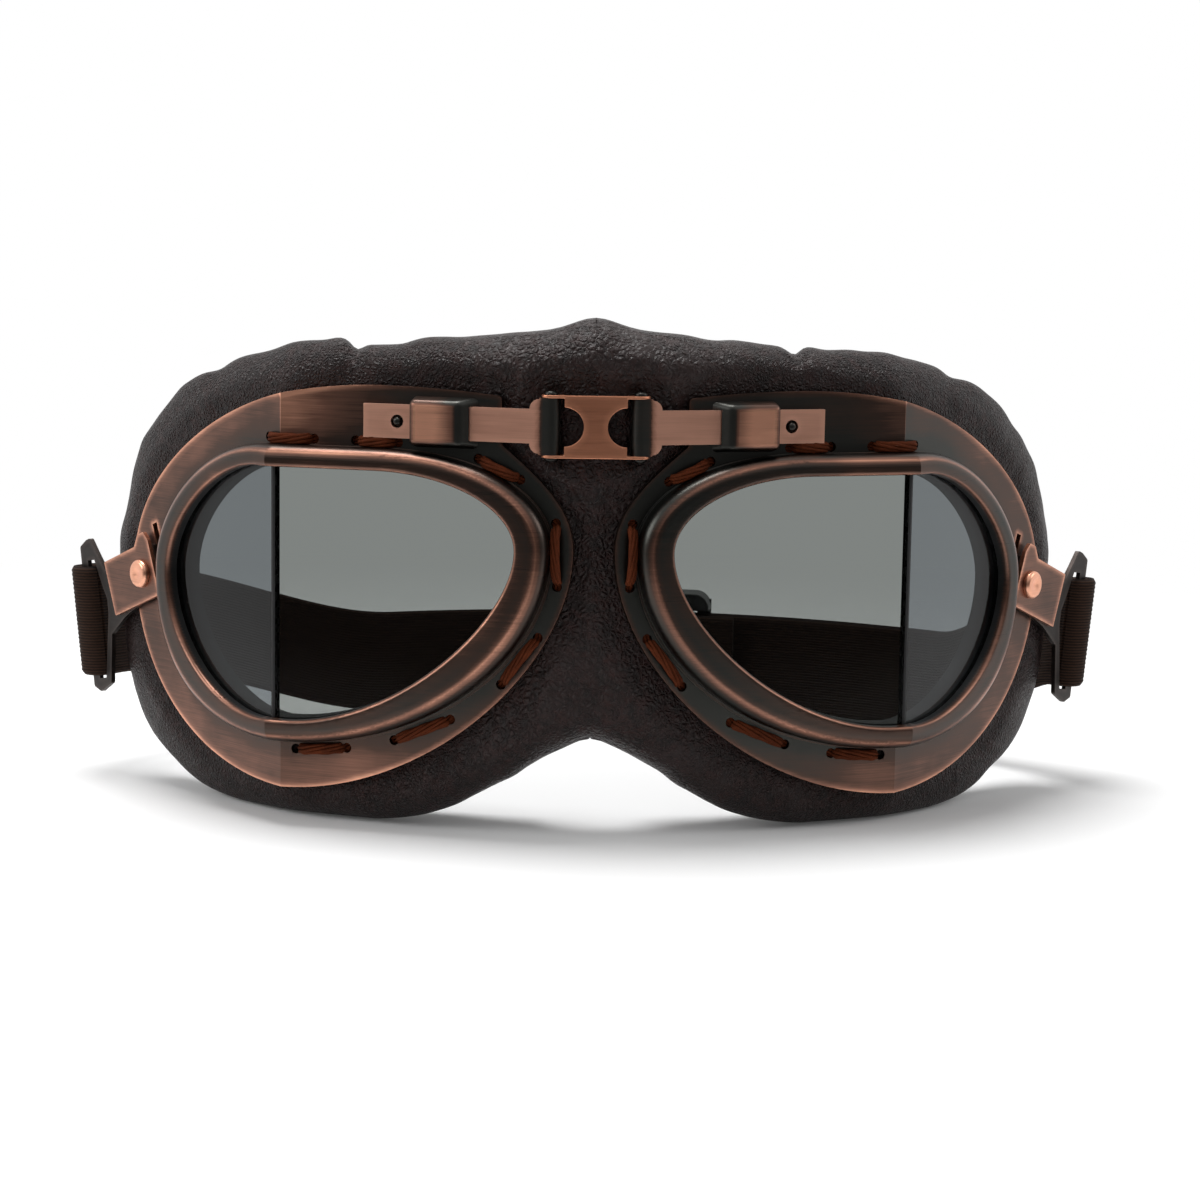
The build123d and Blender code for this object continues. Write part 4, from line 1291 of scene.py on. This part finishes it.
# Head strap: ribbed woven elastic, 25 mm wide, standing on edge behind the mask. Each end is
# turned round a hook bar, and the inner run comes back to the adjuster.
strap_width = 25.0
strap_thick = 1.6
strap_back = 130.0
strap_lift = 4.6
strap_wrap = 2.8
strap_gap = 0.6
wrap_run = 24.0
rise_start = {1: 84.0, -1: 46.0}
tail_length = 20.0
slider_place = 20.0
slider_bar = 3.2
slider_bar_thick = 1.6
slider_clear = 0.3
turn_set = 0.2
bar_place = Vector((111.566, 68.8029, 34.3565))
bar_up = Vector((0.113595, 0.126161, 0.985484))
strap_rise = strap_back - bar_place.y
strap_radius = (bar_place.x ** 2 + strap_rise ** 2) / (2 * strap_rise)
strap_centre = strap_back - strap_radius
strap_sweep = math.asin(bar_place.x / strap_radius)
strap_low = strap_lift + strap_width / 2
rib_count = 24
rib_height = 0.06
run_step = 2.0
wrap_steps = 14
tail_steps = 10
selvedge = 0.5
selvedge_thin = 0.3
hook_blend = 0.02
bend_end = 0.40
slide_end = 0.23
web_angle = 60.0
held_run = 26.0


def strap_spot(turn, offset):
    # A point of the strap's run, the way out from the head there and the way up
    reach = strap_radius * math.sin(turn)
    start = rise_start[1 if turn > 0 else -1]
    climb = softly((abs(reach) - start) / (bar_place.x - start))
    level = strap_low + (bar_place.z - strap_low) * climb
    out = Vector((math.sin(turn), math.cos(turn), 0))
    point = Vector((0, strap_centre, level)) + out * (strap_radius + offset)
    up = Vector((math.copysign(bar_up.x, turn) * climb, bar_up.y * climb, 1)).normalized()
    return point, out, up


def strap_offset(turn):
    gap_half = (strap_thick + strap_gap) / 2
    left = (strap_sweep - abs(turn)) * strap_radius
    return gap_half + (strap_wrap - gap_half) * (1 - softly(left / wrap_run))


def strap_run(first, last, side):
    count = max(2, math.ceil(abs(last - first) * strap_radius / run_step))
    found = []
    for step in range(count + 1):
        turn = first + (last - first) * step / count
        found.append(strap_spot(turn, side * strap_offset(turn)))
    return found


def strap_turn_round(side, order):
    # The half turn round the front of a hook bar
    turn = side * strap_sweep
    centre, out, up = strap_spot(turn, 0)
    back = Vector((-side * math.cos(turn), side * math.sin(turn), 0))
    found = []
    for step in range(1, wrap_steps):
        swing = math.pi * step / wrap_steps
        spoke = out * math.cos(swing) - back * math.sin(swing)
        found.append((centre + spoke * strap_wrap, spoke, up))
    return found if order > 0 else found[::-1]


def adjuster_turn():
    # The end of the inner run turned round the adjuster's middle bar, and its loose tail
    inner = -(strap_thick + strap_gap) / 2
    radius = slider_bar_thick / 2 + slider_clear + strap_thick / 2
    axis = inner - radius - turn_set
    turn = math.asin(slider_place / strap_radius) - (slider_bar - slider_bar_thick) / 2 / strap_radius
    centre, out, up = strap_spot(turn, axis)
    along = Vector((math.cos(turn), -math.sin(turn), 0))
    found = []
    for step in range(wrap_steps + 1):
        swing = math.pi * step / wrap_steps
        spoke = out * math.cos(swing) - along * math.sin(swing)
        found.append((centre + spoke * radius, spoke, up))
    for step in range(1, tail_steps + 1):
        end, out, up = strap_spot(turn + tail_length / strap_radius * step / tail_steps, axis - radius)
        found.append((end, -out, up))
    return found


def strap_profile():
    # Ribs across both faces of the webbing, as offsets up and out
    profile = []
    count = 2 * rib_count
    for face in (1, -1):
        for i in range(count + 1):
            share = i / count
            height = (share - 0.5) * (strap_width - selvedge) * face
            rib = rib_height * math.cos(share * rib_count * 2 * math.pi)
            edge = min(1.0, min(share, 1 - share) * count / 2 + selvedge_thin)
            across = share if face > 0 else 1 - share
            profile.append((height, face * (strap_thick / 2 * edge + rib * edge - rib_height), across))
    return profile


def webbing(name, sections):
    # A stretch of strap between its sections, closed at both ends
    profile = strap_profile()
    points, along, lengths = [], [], 0.0
    for number, (place, out, up) in enumerate(sections):
        if number:
            lengths += (place - sections[number - 1][0]).length
        for height, thick, share in profile:
            point = place + up * height + out * thick + Vector((0, shift_back, 0))
            points.append(point * mm)
            along.append((lengths, share))
    mesh = bpy.data.meshes.new(name)
    mesh.from_pydata(points, [], tube_faces(len(sections), len(profile)))
    layer = mesh.uv_layers.new(name="webbing")
    for loop in mesh.loops:
        run, share = along[loop.vertex_index]
        layer.data[loop.index].uv = (run / strap_width, share)
    piece = new_object(name, mesh)
    work_on(piece, editing=True)
    bpy.ops.mesh.normals_make_consistent(inside=False)
    bpy.ops.object.mode_set(mode="OBJECT")
    bpy.ops.object.shade_smooth_by_angle(angle=math.radians(web_angle))
    piece.data.materials.append(elastic)
    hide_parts("elastic_strap")
    return piece


def strap_material():
    material, tree, shader = new_material("ribbed_elastic")
    spread = add_node(tree, "UVMap", {"uv_map": "webbing"}).outputs[0]
    weave = speckle(tree, drawn_out(tree, spread, (60, 24, 1)), 3.0, 4.0)
    ribs = add_node(tree, "TexWave", {"wave_type": "BANDS", "bands_direction": "Y"}, Vector=spread,
                    Scale=rib_count / 2.0, Distortion=0.0)
    share = maths(tree, "MULTIPLY", maths(tree, "ADD", weave, 0.6), ribs.outputs["Fac"])
    surface(tree, shader, mixed(tree, share, (0.0085, 0.0042, 0.0028, 1), (0.034, 0.0165, 0.0100, 1)), 0.9,
            bump=(share, 0.4, 0.0002), Specular_IOR_Level=0.15, Sheen_Weight=0.05)
    return material


held = strap_sweep - held_run / strap_radius
left_tail = strap_run(-strap_sweep + tail_length / strap_radius, -strap_sweep, -1)
left_end = left_tail + strap_turn_round(-1, -1) + strap_run(-strap_sweep, -held, 1)
right_end = strap_run(held, strap_sweep, 1) + strap_turn_round(1, 1) + strap_run(strap_sweep, held, -1)
stop = math.asin(slider_place / strap_radius) + slider_bar / strap_radius
stretches = {
    "strap_end_left": (left_end, "left_hook", "left_eye", hook_blend - strap_sweep, -held),
    "strap_run_left": (strap_run(-held, 0, 1), "left_eye", "bridge", -held, -bend_end),
    "strap_run_right": (strap_run(0, held, 1), "right_eye", "bridge", held, bend_end),
    "strap_end_right": (right_end, "right_hook", "right_eye", strap_sweep - hook_blend, held),
    "strap_inner_run": (strap_run(held, bend_end, -1), "right_eye", "bridge", held, bend_end),
    "strap_inner_end": (strap_run(bend_end, stop, -1), "bridge", "slider", bend_end, slide_end),
}
elastic = strap_material()
for name, (sections, first, second, *turns) in stretches.items():
    piece = webbing(name, sections)
    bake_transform(piece)
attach(webbing("strap_loose_end", adjuster_turn()), "slider")

# Adjuster: a moulded black slide with three bars, on the rear of the strap. The inner run turns
# round its middle bar, so that the strap can be let out or taken in.
adjuster = finished(joined_copy("strap_slider", "strap_adjuster"), bevel=0.3)
adjuster.data.materials.append(speckled("moulded_black", 1500.0, 3.0, (0.008, 0.008, 0.008, 1),
                                        (0.02, 0.02, 0.021, 1), 0.34, 0.2))
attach(adjuster, "slider")
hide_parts("strap_slider")
